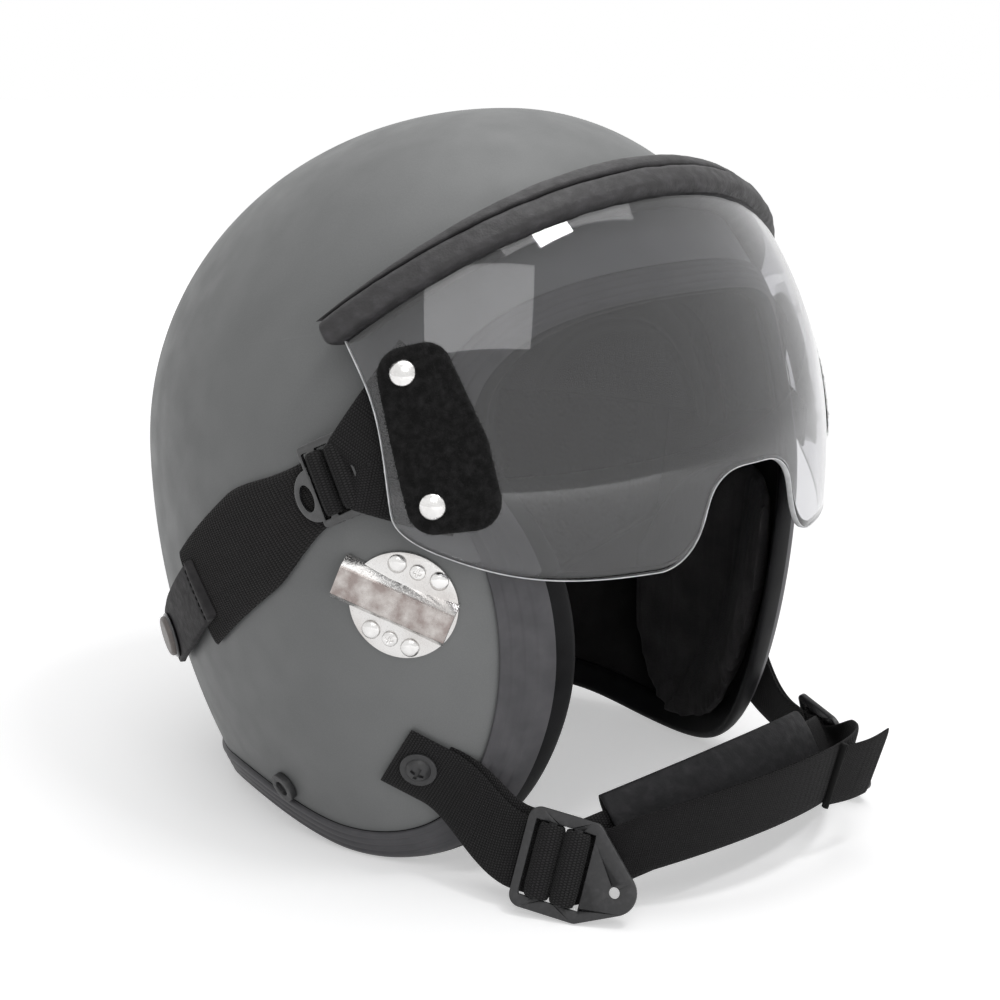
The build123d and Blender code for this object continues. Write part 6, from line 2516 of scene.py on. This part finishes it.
@dataclass
class Studio:
    """The pale floor, the soft lights and the camera."""

    azimuth: float = -47.0
    elevation: float = 13.0
    distance: float = 700.0
    focal: float = 65.6
    shift_right: float = -2.6
    shift_up: float = -17.7
    ambient: float = 0.27
    floor_radius: float = 25.0
    near_glow: float = 0.42
    far_glow: float = 0.8

    def seen(self, tree: bpy.types.NodeTree, dim: object, bright: object) -> object:
        """A value that is dim for the light and bright for the eye, also in glass and metal."""
        path = tree.nodes.new("ShaderNodeLightPath")
        rays = path.outputs["Is Camera Ray"]
        for name in ("Is Glossy Ray", "Is Transmission Ray"):
            joined = tree.nodes.new("ShaderNodeMath")
            joined.operation = "MAXIMUM"
            tree.links.new(rays, joined.inputs[0])
            tree.links.new(path.outputs[name], joined.inputs[1])
            rays = joined.outputs[0]
        mix = tree.nodes.new("ShaderNodeMix")
        tree.links.new(rays, mix.inputs[0])
        for socket, value in ((mix.inputs[2], dim), (mix.inputs[3], bright)):
            if isinstance(value, bpy.types.NodeSocket):
                tree.links.new(value, socket)
            else:
                socket.default_value = value
        return mix.outputs[0]

    def build_world(self) -> None:
        """A white room for the eye and a softer one for the light."""
        world = bpy.data.worlds.new("studio")
        bpy.context.scene.world = world
        world.use_nodes = True
        tree = world.node_tree
        ground = tree.nodes["Background"]
        tree.links.new(self.seen(tree, self.ambient, 1.0), ground.inputs["Strength"])
        ground.inputs["Color"].default_value = (1, 1, 1, 1)

    def build_floor(self) -> None:
        """A round floor that fades to white away from the helmet and keeps its shadow."""
        turn = np.linspace(0, 2 * math.pi, 96, endpoint=False)
        rim = [(self.floor_radius * math.cos(a), self.floor_radius * math.sin(a), 0.0) for a in turn]
        mesh = bpy.data.meshes.new("floor")
        mesh.from_pydata(rim, [], [tuple(range(len(rim)))])
        floor = bpy.data.objects.new("floor", mesh)
        bpy.context.scene.collection.objects.link(floor)
        material = bpy.data.materials.new("floor")
        material.use_nodes = True
        tree = material.node_tree
        tree.nodes.clear()
        diffuse = tree.nodes.new("ShaderNodeBsdfDiffuse")
        diffuse.inputs["Color"].default_value = (0.82, 0.82, 0.825, 1)
        spot = tree.nodes.new("ShaderNodeTexCoord")
        far = tree.nodes.new("ShaderNodeVectorMath")
        far.operation = "LENGTH"
        tree.links.new(spot.outputs["Object"], far.inputs[0])
        fade = tree.nodes.new("ShaderNodeMapRange")
        fade.interpolation_type = "SMOOTHSTEP"
        tree.links.new(far.outputs["Value"], fade.inputs[0])
        for socket, value in zip((1, 2, 3, 4), (0.25, 1.6, self.near_glow, self.far_glow)):
            fade.inputs[socket].default_value = value
        glow = tree.nodes.new("ShaderNodeEmission")
        tree.links.new(self.seen(tree, 0.0, fade.outputs[0]), glow.inputs["Strength"])
        both = tree.nodes.new("ShaderNodeAddShader")
        output = tree.nodes.new("ShaderNodeOutputMaterial")
        tree.links.new(diffuse.outputs[0], both.inputs[0])
        tree.links.new(glow.outputs[0], both.inputs[1])
        tree.links.new(both.outputs[0], output.inputs[0])
        mesh.materials.append(material)

    def lamp(self, name: str, spot: Sequence, size: Sequence, power: float, shows: bool = True) -> None:
        """One soft rectangular light that looks at the helmet, and shows in glossy faces or not."""
        light = bpy.data.lights.new(name, "AREA")
        light.shape = "RECTANGLE"
        light.size, light.size_y = size
        light.energy = power
        lamp = bpy.data.objects.new(name, light)
        bpy.context.scene.collection.objects.link(lamp)
        lamp.location = spot
        aim = Vector((0, 0, 0.13)) - lamp.location
        lamp.rotation_mode = "QUATERNION"
        lamp.rotation_quaternion = aim.to_track_quat("-Z", "Y")
        lamp.visible_glossy = lamp.visible_transmission = shows

    def build_camera(self) -> None:
        """The camera at the photograph's angle."""
        a, e = math.radians(self.azimuth), math.radians(self.elevation)
        back = Vector((math.sin(a) * math.cos(e), -math.cos(a) * math.cos(e), math.sin(e)))
        turn = (-back).to_track_quat("-Z", "Y")
        right, up = turn @ Vector((1, 0, 0)), turn @ Vector((0, 1, 0))
        lens = bpy.data.cameras.new("camera")
        lens.lens = self.focal
        lens.clip_end = 60
        camera = bpy.data.objects.new("camera", lens)
        bpy.context.scene.collection.objects.link(camera)
        camera.rotation_mode = "QUATERNION"
        camera.rotation_quaternion = turn
        place = Vector(FORM.centre) + back * self.distance + right * self.shift_right + up * self.shift_up
        camera.location = place * MM
        bpy.context.scene.camera = camera

    def build(self) -> None:
        """Builds the studio."""
        self.build_world()
        self.build_floor()
        self.lamp("top", (0.2, 0.0, 1.6), (1.7, 1.3), 10.5)
        self.lamp("ceiling", (-0.8, -0.85, 1.3), (1.0, 0.7), 4)
        self.lamp("front", (-0.55, -1.85, 0.4), (2.4, 0.9), 16, shows=False)
        self.lamp("spark", (0.03, -0.71, 1.47), (0.3, 0.2), 4)
        self.build_camera()
        bpy.context.scene.view_settings.view_transform = "Standard"


def main() -> None:
    """Builds the helmet's looks and its studio."""
    logging.basicConfig(level=logging.INFO, format="%(message)s")
    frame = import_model()
    Studio().build()
    shop = Workshop(frame, Trees(), Finishes())
    for part in (Shell(), Linings(), Visor(), VisorStraps(), Fittings(), ChinStrap()):
        log.info("%s", type(part).__name__)
        part.build(shop)


if __name__ == "__main__":
    main()
